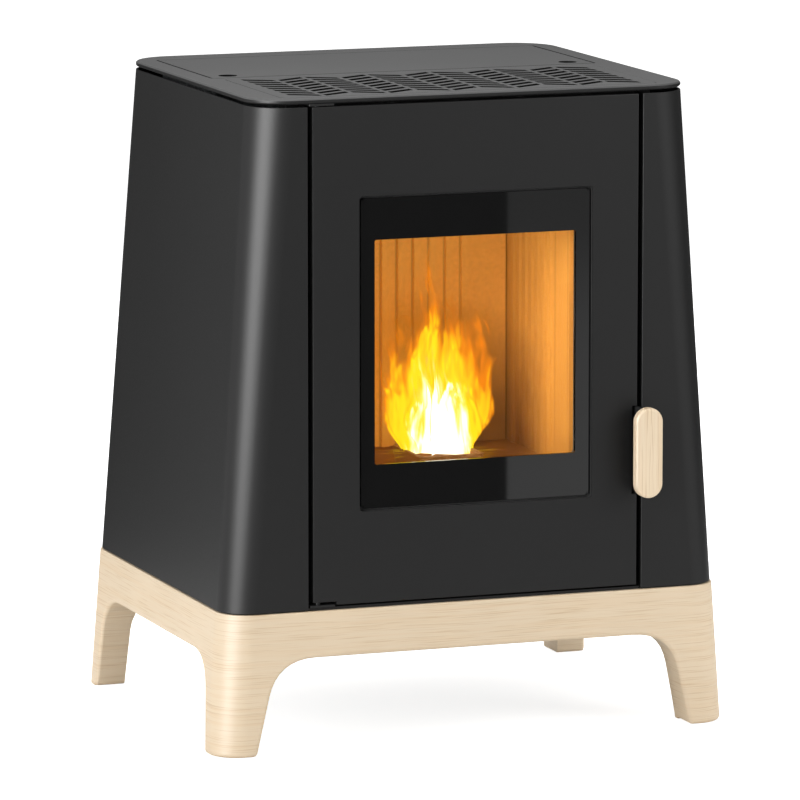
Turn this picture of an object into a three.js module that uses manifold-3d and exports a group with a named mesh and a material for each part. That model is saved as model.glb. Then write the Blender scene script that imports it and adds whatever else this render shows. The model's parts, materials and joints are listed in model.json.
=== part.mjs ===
// A compact pellet stove on a wooden plinth, as an assembly of separate pieces.
// Millimetres, +Z up, +X to the right of someone who faces the door, +Y towards the wall.
// While it is built, y = 0 is the front face of the door and z = 0 is the floor. The last
// lines move the whole stove in Y, so that the origin is the middle of its base.
import * as THREE from "three";
import { mergeVertices } from "three/addons/utils/BufferGeometryUtils.js";
import Module from "manifold-3d";

const wasm = await Module();
wasm.setup();

// ---------------------------------------------------------------- driving dimensions

const HEIGHT = 678.2; // floor to the top of the cast plate
const BASE_HEIGHT = 148.5; // floor to the top of the wooden plinth
const BASE_HALF_WIDTH = 273; // half the steel body's width where it meets the plinth
const TOP_HALF_WIDTH = 239.3; // half its width at the top
const BASE_DEPTH = 447; // depth of the steel body where it meets the plinth
const TOP_DEPTH = 436; // its depth at the top
const PLATE_THICKNESS = 5.5; // cast top plate
const SHADOW_GAP = 3; // dark line between the steel panels and the top plate
const SHEET = 2.5; // bent steel panels
const DOOR_HALF_WIDTH = 179;
const DOOR_GAP = 5; // between the door and the side panels, and above the plinth
const DOOR_DEPTH = 18; // depth of the folded door pan
const DOOR_BESIDE_GLASS = 53.3; // width of door left on each side of the glass
const DOOR_BELOW_GLASS = 98.2;
const DOOR_ABOVE_GLASS = 96.2;
const GLASS_THICKNESS = 4;
const FIRE_BACK = 200; // face of the back liner
const POT_HALF_WIDTH = 36.5;
const POT_RIM = 290; // height of the burn pot's rim
const FLUE_RADIUS = 40; // 80 mm flue spigot
const AIR_RADIUS = 25; // 50 mm air inlet
const REAR_REACH = 32; // how far the flue spigot stands out behind the body
const GRIP_LENGTH = 94.8;
const GRIP_WIDTH = 30;
const GRIP_THICKNESS = 12;
const GRIP_REACH = 30; // how far the grip stands out in front of the door
const AUGER_RADIUS = 24;
const AUGER_PITCH = 36;

// ---------------------------------------------------------------- clearances

const SEAT = 0.3; // between pieces that seat on each other without a flat contact
const RUNNING = 0.5; // round a shaft that turns
const WINDOW_GAP = 2.6; // round the glass in the door
const PLATE_GAP = 1.5; // round the lid in the top plate

// ---------------------------------------------------------------- worked out sizes

const PANEL_BOTTOM = BASE_HEIGHT + 1;
const PANEL_TOP = HEIGHT - PLATE_THICKNESS - SHADOW_GAP;
const PLATE_BOTTOM = HEIGHT - PLATE_THICKNESS;
const FLOOR_PLATE_TOP = BASE_HEIGHT + 3;
const PANEL_EDGE = DOOR_HALF_WIDTH + DOOR_GAP;
const DOOR_BOTTOM = BASE_HEIGHT + DOOR_GAP;
const DOOR_TOP = PANEL_TOP - 0.2;
const FRAME_FRONT = DOOR_DEPTH + 4;
const FRAME_BACK = FRAME_FRONT + 3;
const GLASS_HALF_WIDTH = DOOR_HALF_WIDTH - DOOR_BESIDE_GLASS;
const GLASS_BOTTOM = DOOR_BOTTOM + DOOR_BELOW_GLASS;
const GLASS_TOP = DOOR_TOP - DOOR_ABOVE_GLASS;
const FIRE_HALF_WIDTH = GLASS_HALF_WIDTH - 15.7; // half the clear width between the side liners
const FIREBOX_FLOOR = POT_RIM - 36.5;
const FIREBOX_TOP = GLASS_TOP + 15.2;
const FIREBOX_WALL = 3.5;
const LINER = 8.2;
const HINGE_X = -DOOR_HALF_WIDTH + 7;
const HINGE_Y = 7;
const BEYOND = 2 * HEIGHT; // length of a cutting tool that goes right through the stove

const slope = (BASE_HALF_WIDTH - TOP_HALF_WIDTH) / (PANEL_TOP - PANEL_BOTTOM);
const lean = (BASE_DEPTH - TOP_DEPTH) / (PANEL_TOP - PANEL_BOTTOM);
const rise = (z) => (z - PANEL_BOTTOM) / (PANEL_TOP - PANEL_BOTTOM);
const halfWidthAt = (z) => BASE_HALF_WIDTH - slope * (z - PANEL_BOTTOM);
const depthAt = (z) => BASE_DEPTH - lean * (z - PANEL_BOTTOM);
const BASE_RADIUS = 33; // bend of the steel at the corners, where it meets the plinth
const TOP_FRONT_RADIUS = TOP_HALF_WIDTH - PANEL_EDGE - 12.3; // leaves a flat strip beside the door
const TOP_REAR_RADIUS = 49;
const frontRadiusAt = (z) => BASE_RADIUS + (TOP_FRONT_RADIUS - BASE_RADIUS) * rise(z);
const rearRadiusAt = (z) => BASE_RADIUS + (TOP_REAR_RADIUS - BASE_RADIUS) * rise(z);

// ---------------------------------------------------------------- materials

const material = (color, roughness, metalness) =>
  new THREE.MeshStandardMaterial({ color, roughness, metalness, flatShading: true });

const paintedSteel = material(0x343433, 0.55, 0.5);
const castIron = material(0x4a4a4a, 0.6, 0.6);
const darkSteel = material(0x1c1c1c, 0.6, 0.6);
const bareSteel = material(0x9a9c9e, 0.4, 0.9);
const zincSteel = material(0xaab0b3, 0.45, 0.8);
const wood = material(0xecd9b4, 0.6, 0);
const blackGlass = material(0x1c1c1c, 0.08, 0);
const gasketRope = material(0x3a3a38, 0.95, 0);
const liner = material(0xa98a5a, 0.85, 0);
const rubber = material(0x202020, 0.9, 0);
const circuit = material(0x1f5a35, 0.6, 0.1);
const blackPlastic = material(0x181818, 0.5, 0);

// ---------------------------------------------------------------- solids

// A closed three.js geometry as a solid that can be cut and joined.
function solid(geometry) {
  const bare = geometry.clone();
  bare.deleteAttribute("normal");
  bare.deleteAttribute("uv");
  const merged = mergeVertices(bare, 1e-4);
  return new wasm.Manifold(
    new wasm.Mesh({
      numProp: 3,
      vertProperties: merged.attributes.position.array,
      triVerts: new Uint32Array(merged.index.array),
    }),
  );
}

const join = (first, ...others) => others.reduce((sum, one) => sum.add(one), first);
const cut = (body, ...tools) => tools.reduce((left, tool) => left.subtract(tool), body);

// A solid as a named mesh.
function piece(name, body, look) {
  const made = body.getMesh();
  const points = new Float32Array(made.numVert * 3);
  for (let i = 0; i < made.numVert; i++) {
    const start = i * made.numProp;
    points.set(made.vertProperties.subarray(start, start + 3), i * 3);
  }
  const geometry = new THREE.BufferGeometry();
  geometry.setAttribute("position", new THREE.BufferAttribute(points, 3));
  geometry.setIndex(new THREE.BufferAttribute(new Uint32Array(made.triVerts), 1));
  geometry.computeVertexNormals();
  const mesh = new THREE.Mesh(geometry, look);
  mesh.name = name;
  return mesh;
}

function box(x0, x1, y0, y1, z0, z1) {
  const geometry = new THREE.BoxGeometry();
  const corners = geometry.attributes.position;
  for (let i = 0; i < corners.count; i++) {
    const x = corners.getX(i) < 0 ? x0 : x1;
    const y = corners.getY(i) < 0 ? y0 : y1;
    corners.setXYZ(i, x, y, corners.getZ(i) < 0 ? z0 : z1);
  }
  return solid(geometry);
}

// Turns a geometry that was made along Z so that it lies along another axis: a drawing in
// (x, y) becomes one in (x, z) along Y, or in (y, z) along X.
function alongAxis(geometry, axis, from, to) {
  if (axis === "z") geometry.translate(0, 0, from);
  if (axis === "y") geometry.rotateX(Math.PI / 2).translate(0, to, 0);
  if (axis === "x") {
    const turn = new THREE.Matrix4().makeBasis(
      new THREE.Vector3(0, 1, 0),
      new THREE.Vector3(0, 0, 1),
      new THREE.Vector3(1, 0, 0),
    );
    geometry.applyMatrix4(turn).translate(from, 0, 0);
  }
  return geometry;
}

// An outline pushed along an axis from one coordinate to another.
function prism(shape, axis, from, to, curveSegments = 6) {
  const options = { depth: to - from, bevelEnabled: false, curveSegments };
  const geometry = new THREE.ExtrudeGeometry(shape, options);
  return solid(alongAxis(geometry, axis, from, to));
}

// A round rod along an axis; a and b are its centre in the other two axes, in X, Y, Z order.
function rod(axis, a, b, from, to, radius, sides = 24) {
  const geometry = new THREE.CylinderGeometry(radius, radius, to - from, sides);
  geometry.rotateX(Math.PI / 2).translate(a, b, (to - from) / 2);
  return solid(alongAxis(geometry, axis, from, to));
}

const pipe = (axis, a, b, from, to, radius, wall, sides = 24) =>
  cut(rod(axis, a, b, from, to, radius, sides), rod(axis, a, b, from - 1, to + 1, radius - wall, sides));

// A rectangle with round corners, as a path for shapes and for holes in them.
function roundedRectangle(x0, x1, y0, y1, radius, Kind = THREE.Shape) {
  const path = new Kind();
  path.moveTo(x0 + radius, y0);
  path.lineTo(x1 - radius, y0);
  path.absarc(x1 - radius, y0 + radius, radius, -Math.PI / 2, 0);
  path.lineTo(x1, y1 - radius);
  path.absarc(x1 - radius, y1 - radius, radius, 0, Math.PI / 2);
  path.lineTo(x0 + radius, y1);
  path.absarc(x0 + radius, y1 - radius, radius, Math.PI / 2, Math.PI);
  path.lineTo(x0, y0 + radius);
  path.absarc(x0 + radius, y0 + radius, radius, Math.PI, Math.PI * 1.5);
  return path;
}

const polygon = (...points) => new THREE.Shape(points.map(([x, y]) => new THREE.Vector2(x, y)));

// A solid through outlines of equal length, each an array of Vector2 at its own height.
function loft(sections) {
  const points = sections.flatMap(({ z, outline }) => outline.map((p) => [p.x, p.y, z])).flat();
  const count = sections[0].outline.length;
  const index = [];
  for (let level = 0; level + 1 < sections.length; level++) {
    for (let i = 0; i < count; i++) {
      const a = level * count + i;
      const b = level * count + ((i + 1) % count);
      index.push(a, b, b + count, a, b + count, a + count);
    }
  }
  const last = (sections.length - 1) * count;
  for (const [a, b, c] of THREE.ShapeUtils.triangulateShape(sections[0].outline, [])) {
    index.push(c, b, a);
    index.push(last + a, last + b, last + c);
  }
  const geometry = new THREE.BufferGeometry();
  geometry.setAttribute("position", new THREE.Float32BufferAttribute(points, 3));
  geometry.setIndex(index);
  return solid(geometry);
}

// Points on an arc, with both ends.
function arc(x, y, radius, start, end, steps = 8) {
  return Array.from({ length: steps + 1 }, (_, i) => {
    const angle = start + ((end - start) * i) / steps;
    return new THREE.Vector2(x + radius * Math.cos(angle), y + radius * Math.sin(angle));
  });
}

// The stove's plan at a height, counter-clockwise. A positive inset lies inside the steel.
function planAt(z, inset, softer = 0) {
  const half = halfWidthAt(z) - inset;
  const back = depthAt(z) - inset;
  const front = inset;
  const rf = frontRadiusAt(z) - inset + softer;
  const rr = rearRadiusAt(z) - inset + softer;
  const quarter = Math.PI / 2;
  return [
    ...arc(half - rf, front + rf, rf, -quarter, 0),
    ...arc(half - rr, back - rr, rr, 0, quarter),
    ...arc(-half + rr, back - rr, rr, quarter, 2 * quarter),
    ...arc(-half + rf, front + rf, rf, 2 * quarter, 3 * quarter),
  ];
}

const bodyLoft = (z0, z1, inset, softer) =>
  loft([z0, z1].map((z) => ({ z, outline: planAt(z, inset, softer) })));

// A path given a thickness on its left side, with mitred corners.
function thicken(path, thickness) {
  const normals = path.slice(1).map((p, i) => {
    const along = p.clone().sub(path[i]).normalize();
    return new THREE.Vector2(-along.y, along.x);
  });
  const inner = path.map((p, i) => {
    const before = normals[Math.max(i - 1, 0)];
    const after = normals[Math.min(i, normals.length - 1)];
    const middle = before.clone().add(after).normalize();
    return p.clone().addScaledVector(middle, thickness / middle.dot(after));
  });
  return [...path, ...inner.reverse()];
}

const mirrored = (outline) => outline.map((p) => new THREE.Vector2(-p.x, p.y)).reverse();

// ---------------------------------------------------------------- wooden plinth

const PROUD = 1.7; // the wood stands this far outside the steel
const APRON_THICKNESS = 24;
const APRON_BOTTOM = BASE_HEIGHT - 48.8;
const FOOT_WIDTH = 44;
const FOOT_DEPTH = 43;
const LEG_THICKNESS = 32.5; // of the wood round a corner below the apron, short of the seam
const LEG_LEAN = 0.228; // how fast a leg widens with height, seen from the front
const SIDE_LEAN = 0.15; // the same, seen from the side
const BACK_LEAN = 0.07; // the same, seen from the back
const ARCH_KNEE = APRON_BOTTOM - 38.2; // where the straight leg ends and the curve begins
const ARCH_CURVE = 42; // reach of the curve along the apron
const BOARD_SEAM = 33; // front and back boards wrap the corners as far as this

// The opening between two legs, as an outline from the floor up.
function arch(middle, halfSpan, lean) {
  const knee = halfSpan - lean * ARCH_KNEE;
  const corner = halfSpan - lean * APRON_BOTTOM;
  const shape = new THREE.Shape();
  shape.moveTo(middle - halfSpan - lean * 10, -10);
  shape.lineTo(middle + halfSpan + lean * 10, -10);
  shape.lineTo(middle + knee, ARCH_KNEE);
  shape.quadraticCurveTo(middle + corner, APRON_BOTTOM, middle + corner - ARCH_CURVE, APRON_BOTTOM);
  shape.lineTo(middle - corner + ARCH_CURVE, APRON_BOTTOM);
  shape.quadraticCurveTo(middle - corner, APRON_BOTTOM, middle - knee, ARCH_KNEE);
  return shape;
}

function plinth() {
  const group = new THREE.Group();
  const outside = bodyLoft(0, BASE_HEIGHT, -PROUD, 0);
  const floorHalf = halfWidthAt(0) + PROUD;
  const floorDepth = depthAt(0) + 2 * PROUD;
  const middle = floorDepth / 2 - PROUD;
  const inside = join(
    bodyLoft(APRON_BOTTOM, BASE_HEIGHT + 1, APRON_THICKNESS, 32),
    bodyLoft(-1, APRON_BOTTOM + 1, LEG_THICKNESS, 32),
  );
  const front = prism(arch(0, floorHalf - FOOT_WIDTH, LEG_LEAN), "y", -BEYOND, middle, 8);
  const back = prism(arch(0, floorHalf - LEG_THICKNESS, BACK_LEAN), "y", middle, BEYOND, 8);
  const sides = prism(arch(middle, floorDepth / 2 - FOOT_DEPTH, SIDE_LEAN), "x", -BEYOND, BEYOND, 8);
  const ring = cut(outside, inside, front, back, sides);
  const far = BASE_DEPTH - BOARD_SEAM;
  const board = (x0, x1, y0, y1) => ring.intersect(box(x0, x1, y0, y1, -BEYOND, BEYOND));
  group.add(piece("base_front", board(-BEYOND, BEYOND, -BEYOND, BOARD_SEAM), wood));
  group.add(piece("base_back", board(-BEYOND, BEYOND, far, BEYOND), wood));
  group.add(piece("base_left", board(-BEYOND, 0, BOARD_SEAM, far), wood));
  group.add(piece("base_right", board(0, BEYOND, BOARD_SEAM, far), wood));

  const strapInset = APRON_THICKNESS + SEAT;
  const strapBottom = APRON_BOTTOM + 10;
  const strapTop = BASE_HEIGHT - 10;
  const strap = cut(
    bodyLoft(strapBottom, strapTop, strapInset, 32),
    bodyLoft(strapBottom - 1, strapTop + 1, strapInset + 3, 32),
  );
  const reach = 95;
  const inner = BASE_HALF_WIDTH - reach;
  for (const [side, x0, x1] of [["left", -BEYOND, -inner], ["right", inner, BEYOND]]) {
    const front = box(x0, x1, 0, reach, 0, BASE_HEIGHT);
    const back = box(x0, x1, BASE_DEPTH - reach, BASE_DEPTH, 0, BASE_HEIGHT);
    group.add(piece("corner_strap_front_" + side, strap.intersect(front), zincSteel));
    group.add(piece("corner_strap_back_" + side, strap.intersect(back), zincSteel));
  }
  return group;
}

// ---------------------------------------------------------------- steel body

const GAS_FAN = { x0: -148, x1: -72, y: 300, z: FLOOR_PLATE_TOP + 73.5, radius: 68 };
const ROOM_FAN = { x0: 98, x1: BASE_HALF_WIDTH - 61, y: 345, z: FLOOR_PLATE_TOP + 48.5, radius: 38 };
const FLUE_X = (GAS_FAN.x0 + GAS_FAN.x1) / 2;
const FLUE_Z = GAS_FAN.z + GAS_FAN.radius / 2;
const AIR_X = 62;
const AIR_Z = FIREBOX_FLOOR - FIREBOX_WALL - AIR_RADIUS - 2;
const SOCKET_Z = FLOOR_PLATE_TOP + 58.5;
const SWITCH_Z = SOCKET_Z + 40;
const SOCKET_X = halfWidthAt(SWITCH_Z) - 76.5;
const VENTS_Z = BASE_HEIGHT + 261.5; // lowest row of vents in the back panel
const TAB = 12; // return of the side panels behind the back panel

// The bent sheet on the right at a height: door return, front, corner, side, rear corner.
function sidePanelAt(z) {
  const half = halfWidthAt(z);
  const back = depthAt(z);
  const rf = frontRadiusAt(z);
  const rr = rearRadiusAt(z);
  const path = [
    new THREE.Vector2(PANEL_EDGE, FRAME_FRONT),
    new THREE.Vector2(PANEL_EDGE, 0),
    ...arc(half - rf, rf, rf, -Math.PI / 2, 0),
    ...arc(half - rr, back - rr, rr, 0, Math.PI / 2),
    new THREE.Vector2(half - rr - TAB, back),
  ];
  return thicken(path, SHEET);
}

function backPanel() {
  const low = FLOOR_PLATE_TOP;
  const high = PANEL_TOP;
  const halfAt = (z) => halfWidthAt(z) - rearRadiusAt(z) - 3;
  const between = (z0, z1, inset) => loft(
    [z0, z1].map((z) => {
      const y = depthAt(z) - inset;
      return { z, outline: rectangle(BEYOND, -BEYOND, y) };
    }),
  );
  const slab = cut(between(low, high, SHEET + SEAT), between(low - 5, high + 5, SHEET + SEAT + 2));
  const outline = prism(
    polygon([-halfAt(low), low], [halfAt(low), low], [halfAt(high), high], [-halfAt(high), high]),
    "y", 0, BEYOND,
  );
  let panel = slab.intersect(outline);
  panel = cut(
    panel,
    rod("y", FLUE_X, FLUE_Z, 0, BEYOND, FLUE_RADIUS + 4, 24),
    rod("y", AIR_X, AIR_Z, 0, BEYOND, AIR_RADIUS + 4, 24),
    box(SOCKET_X - 14.5, SOCKET_X + 14.5, 0, BEYOND, SOCKET_Z - 11, SOCKET_Z + 11),
    box(SOCKET_X - 11, SOCKET_X + 11, 0, BEYOND, SWITCH_Z - 7.5, SWITCH_Z + 7.5),
  );
  const slot = (x, z) => prism(roundedRectangle(x - 42, x + 42, z - 2.5, z + 2.5, 2.4), "y", 0, BEYOND, 1);
  for (const x of [-108, 0, 108]) {
    for (let row = 0; row < 4; row++) panel = panel.subtract(slot(x, VENTS_Z + 16 * row));
  }
  return piece("back_panel", panel, paintedSteel);
}

function steelBody() {
  const group = new THREE.Group();
  const returnSlot = (x0, x1) => box(x0 - SEAT, x1 + SEAT, -BEYOND, FRAME_FRONT + SEAT, 0, PANEL_TOP);
  const floorPlate = cut(
    bodyLoft(BASE_HEIGHT, FLOOR_PLATE_TOP, SHEET + SEAT),
    returnSlot(-PANEL_EDGE - SHEET, -PANEL_EDGE),
    returnSlot(PANEL_EDGE, PANEL_EDGE + SHEET),
  );
  group.add(piece("floor_plate", floorPlate, darkSteel));

  const levels = [PANEL_BOTTOM, PANEL_TOP];
  const right = loft(levels.map((z) => ({ z, outline: sidePanelAt(z) })));
  const left = loft(levels.map((z) => ({ z, outline: mirrored(sidePanelAt(z)) })));
  group.add(piece("side_panel_right", right, paintedSteel));
  group.add(piece("side_panel_left", left, paintedSteel));
  group.add(backPanel());

  const frameHalf = PANEL_EDGE + 16;
  const clear = FIRE_HALF_WIDTH + LINER + SEAT;
  const frame = cut(
    join(
      box(-frameHalf, frameHalf, FRAME_FRONT, FRAME_BACK, FLOOR_PLATE_TOP, PLATE_BOTTOM),
      box(-frameHalf, -frameHalf + 3, FRAME_FRONT, FRAME_BACK + 20, FLOOR_PLATE_TOP, PLATE_BOTTOM),
      box(frameHalf - 3, frameHalf, FRAME_FRONT, FRAME_BACK + 20, FLOOR_PLATE_TOP, PLATE_BOTTOM),
      box(-frameHalf, frameHalf, FRAME_FRONT, FRAME_BACK + 40, PLATE_BOTTOM - 3, PLATE_BOTTOM),
    ),
    prism(roundedRectangle(-clear, clear, FIREBOX_FLOOR, FIREBOX_TOP, 6), "y", 0, FRAME_BACK + 1, 3),
    box(-PAN_HALF - 4, PAN_HALF + 4, 0, FRAME_BACK + 1, 0, PAN_TOP + 3),
    box(LATCH_X - 4, LATCH_X + 12, 0, FRAME_BACK + 1, LATCH_Z - 16, LATCH_Z + 16),
  );
  group.add(piece("front_frame", frame, darkSteel));
  return group;
}

// ---------------------------------------------------------------- door

const SKIN = 3; // door face
const HINGE_NOTCH_X = -DOOR_HALF_WIDTH + 25.4;
const HINGE_NOTCH_Z = DOOR_BOTTOM + 3.5;
const PIN_RADIUS = 3;
const LEVER_AXIS_X = DOOR_HALF_WIDTH - 7;
const LEVER_AXIS_Y = 9;
const GRIP_X = LEVER_AXIS_X + 9.3;
const GRIP_Z = BASE_HEIGHT + 148.5;
const LEVER_LOW = GRIP_Z - 46;
const LEVER_HIGH = GRIP_Z + 45;
const LATCH_X = LEVER_AXIS_X;
const LATCH_Z = GRIP_Z;

const doorOutline = (inset) => polygon(
  [HINGE_NOTCH_X + inset, DOOR_BOTTOM + inset],
  [DOOR_HALF_WIDTH - inset, DOOR_BOTTOM + inset],
  [DOOR_HALF_WIDTH - inset, DOOR_TOP - inset],
  [-DOOR_HALF_WIDTH + inset, DOOR_TOP - inset],
  [-DOOR_HALF_WIDTH + inset, HINGE_NOTCH_Z + inset],
  [HINGE_NOTCH_X + inset, HINGE_NOTCH_Z + inset],
);

function doorPanel() {
  const bevel = 1.2;
  const shell = new THREE.ExtrudeGeometry(doorOutline(0), {
    depth: DOOR_DEPTH - bevel,
    bevelEnabled: true,
    bevelThickness: bevel,
    bevelSize: bevel,
    bevelOffset: -bevel,
    bevelSegments: 2,
  });
  const pan = solid(shell.rotateX(Math.PI / 2).translate(0, DOOR_DEPTH, 0));
  const square = box(-BEYOND, BEYOND, 0, DOOR_DEPTH, 0, BEYOND);
  const windowHalf = GLASS_HALF_WIDTH + WINDOW_GAP;
  const window = roundedRectangle(-windowHalf, windowHalf, GLASS_BOTTOM - WINDOW_GAP, GLASS_TOP + WINDOW_GAP, 4);
  const notch = box(LEVER_AXIS_X + 1, DOOR_HALF_WIDTH + 5, -5, DOOR_DEPTH + 5, LEVER_LOW - 1, LEVER_HIGH + 1);
  const body = cut(
    pan.intersect(square),
    prism(doorOutline(SHEET), "y", SKIN, DOOR_DEPTH + 5),
    prism(window, "y", -5, DOOR_DEPTH + 5, 3),
    notch,
    rod("z", HINGE_X, HINGE_Y, 0, BEYOND, PIN_RADIUS + RUNNING, 12),
  );
  return piece("door_panel", body, paintedSteel);
}

const RING_DEPTH = 11; // cast ring behind the door's face
const RING_HALF = GLASS_HALF_WIDTH + 24.3;
const ROPE_LOW = FIREBOX_FLOOR - 17.5; // rope gasket, round the mouth of the firebox
const ROPE_HIGH = FIREBOX_TOP + 13.5;
const ROPE_WIDTH = 10;
const RING_LOW = Math.min(GLASS_BOTTOM - 29.7, ROPE_LOW - 4);
const RING_HIGH = ROPE_HIGH + 4;
const CLEAR_HALF = FIRE_HALF_WIDTH + 2; // clear opening of the cast ring
const CLEAR_LOW = GLASS_BOTTOM + 43.8;
const CLEAR_HIGH = GLASS_TOP - 41.8;

const ringShape = (half, low, high, radius, innerHalf, innerLow, innerHigh, innerRadius) => {
  const shape = roundedRectangle(-half, half, low, high, radius);
  shape.holes.push(roundedRectangle(-innerHalf, innerHalf, innerLow, innerHigh, innerRadius, THREE.Path));
  return shape;
};

function doorGroup() {
  const group = new THREE.Group();
  group.add(doorPanel());

  const windowHalf = GLASS_HALF_WIDTH + WINDOW_GAP;
  const seatY = SKIN + GLASS_THICKNESS + 2;
  const ringBack = SKIN + RING_DEPTH;
  const ring = cut(
    prism(roundedRectangle(-RING_HALF, RING_HALF, RING_LOW, RING_HIGH, 8), "y", SKIN, ringBack, 3),
    prism(
      roundedRectangle(-windowHalf, windowHalf, GLASS_BOTTOM - WINDOW_GAP, GLASS_TOP + WINDOW_GAP, 4),
      "y", 0, seatY, 3,
    ),
    prism(roundedRectangle(-CLEAR_HALF, CLEAR_HALF, CLEAR_LOW, CLEAR_HIGH, 4), "y", 0, BEYOND, 3),
  );
  group.add(piece("door_inner_frame", ring, castIron));

  const pane = roundedRectangle(-GLASS_HALF_WIDTH, GLASS_HALF_WIDTH, GLASS_BOTTOM, GLASS_TOP, 2);
  group.add(piece("door_glass", prism(pane, "y", SKIN, SKIN + GLASS_THICKNESS, 2), blackGlass));

  const bedding = ringShape(
    GLASS_HALF_WIDTH - 1, GLASS_BOTTOM + 1, GLASS_TOP - 1, 3,
    CLEAR_HALF + 1, CLEAR_LOW - 1, CLEAR_HIGH + 1, 4,
  );
  group.add(piece("glass_gasket", prism(bedding, "y", SKIN + GLASS_THICKNESS, seatY, 2), gasketRope));

  const ropeHalf = RING_HALF - 7;
  const rope = ringShape(
    ropeHalf, ROPE_LOW, ROPE_HIGH, 12,
    ropeHalf - ROPE_WIDTH, ROPE_LOW + ROPE_WIDTH, ROPE_HIGH - ROPE_WIDTH, 6,
  );
  group.add(piece("door_gasket", prism(rope, "y", ringBack, FRAME_FRONT - SEAT, 4), gasketRope));

  const lugTop = LEVER_HIGH + 2.3;
  const lugBottom = LEVER_LOW - 2.3;
  const bracketX = LEVER_AXIS_X - 14;
  const arm = (width, z0, z1) => box(bracketX, bracketX + width, SKIN, SKIN + 12, z0, z1);
  const bracket = cut(
    join(
      arm(3, lugBottom - 4, lugTop + 4),
      arm(18, lugBottom - 4, lugBottom),
      arm(18, lugTop, lugTop + 4),
    ),
    rod("z", LEVER_AXIS_X, LEVER_AXIS_Y, 0, BEYOND, 2.7, 16),
  );
  group.add(piece("handle_bracket", bracket, darkSteel));
  const pin = rod("z", LEVER_AXIS_X, LEVER_AXIS_Y, lugBottom - 5, lugTop + 5, 2.5, 16);
  group.add(piece("handle_pin", pin, bareSteel));
  return group;
}

// The lever turns on the handle pin: it carries the grip in front and the latch nose behind.
function handleGroup() {
  const group = new THREE.Group();
  const x = LEVER_AXIS_X;
  const gripBack = GRIP_THICKNESS - GRIP_REACH;
  const noseFront = FRAME_BACK + 0.6;
  const noseBack = FRAME_BACK + 6;
  const nose = polygon([x - 3.4, noseFront], [x, noseFront], [x, noseBack], [x - 1, noseBack]);
  const lever = cut(
    join(
      rod("z", x, LEVER_AXIS_Y, LEVER_LOW, LEVER_HIGH, 4, 16),
      box(x, x + 9, LEVER_AXIS_Y - 2, LEVER_AXIS_Y + 2, LEVER_LOW, LEVER_HIGH),
      box(x + 5, x + 9, gripBack, LEVER_AXIS_Y + 2, LEVER_LOW, LEVER_HIGH),
      box(x - 2, x + 2, LEVER_AXIS_Y, noseBack, LATCH_Z - 12, LATCH_Z + 12),
      prism(nose, "z", LATCH_Z - 12, LATCH_Z + 12),
    ),
    rod("z", x, LEVER_AXIS_Y, 0, BEYOND, 2.75, 16),
  );
  group.add(piece("handle_lever", lever, darkSteel));

  const round = 3;
  const radius = GRIP_WIDTH / 2;
  const straight = GRIP_LENGTH / 2 - radius;
  const shape = new THREE.Shape();
  shape.absarc(GRIP_X, GRIP_Z + straight, radius, 0, Math.PI);
  shape.absarc(GRIP_X, GRIP_Z - straight, radius, Math.PI, 2 * Math.PI);
  const grip = new THREE.ExtrudeGeometry(shape, {
    depth: GRIP_THICKNESS - 2 * round,
    bevelEnabled: true,
    bevelThickness: round,
    bevelSize: round,
    bevelOffset: -round,
    bevelSegments: 2,
    curveSegments: 7,
  });
  grip.rotateX(Math.PI / 2).translate(0, gripBack - round, 0);
  group.add(piece("handle_grip", solid(grip), wood));
  return group;
}

function doorHinges() {
  const group = new THREE.Group();
  const plate = (name, z0, z1) => {
    const outline = roundedRectangle(-DOOR_HALF_WIDTH - 3, HINGE_NOTCH_X - 1, 1, FRAME_FRONT, 1);
    const leaf = prism(outline, "z", z0, z1, 1);
    const hole = rod("z", HINGE_X, HINGE_Y, 0, BEYOND, PIN_RADIUS + SEAT / 2, 12);
    group.add(piece(name, cut(leaf, hole), darkSteel));
  };
  plate("hinge_plate_lower", FLOOR_PLATE_TOP, FLOOR_PLATE_TOP + 2.5);
  plate("hinge_plate_upper", PLATE_BOTTOM - 2.5, PLATE_BOTTOM);
  const pin = (name, z0, z1) =>
    group.add(piece(name, rod("z", HINGE_X, HINGE_Y, z0, z1, PIN_RADIUS, 12), bareSteel));
  pin("hinge_pin_lower", FLOOR_PLATE_TOP, HINGE_NOTCH_Z + 14);
  pin("hinge_pin_upper", DOOR_TOP - 16, PLATE_BOTTOM);
  return group;
}

// ---------------------------------------------------------------- top

const GRILLE = { half: TOP_HALF_WIDTH - 33.3, front: 14, back: TOP_DEPTH - 235 };
const LID = { half: TOP_HALF_WIDTH - 24.8, front: GRILLE.back + 11, back: TOP_DEPTH - 39 };
const LEDGE = 4;
const LID_AXIS_Y = LID.back - 4;
const LID_AXIS_Z = HEIGHT - PLATE_THICKNESS / 2;
const LID_PIN_RADIUS = 1.5;

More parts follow.
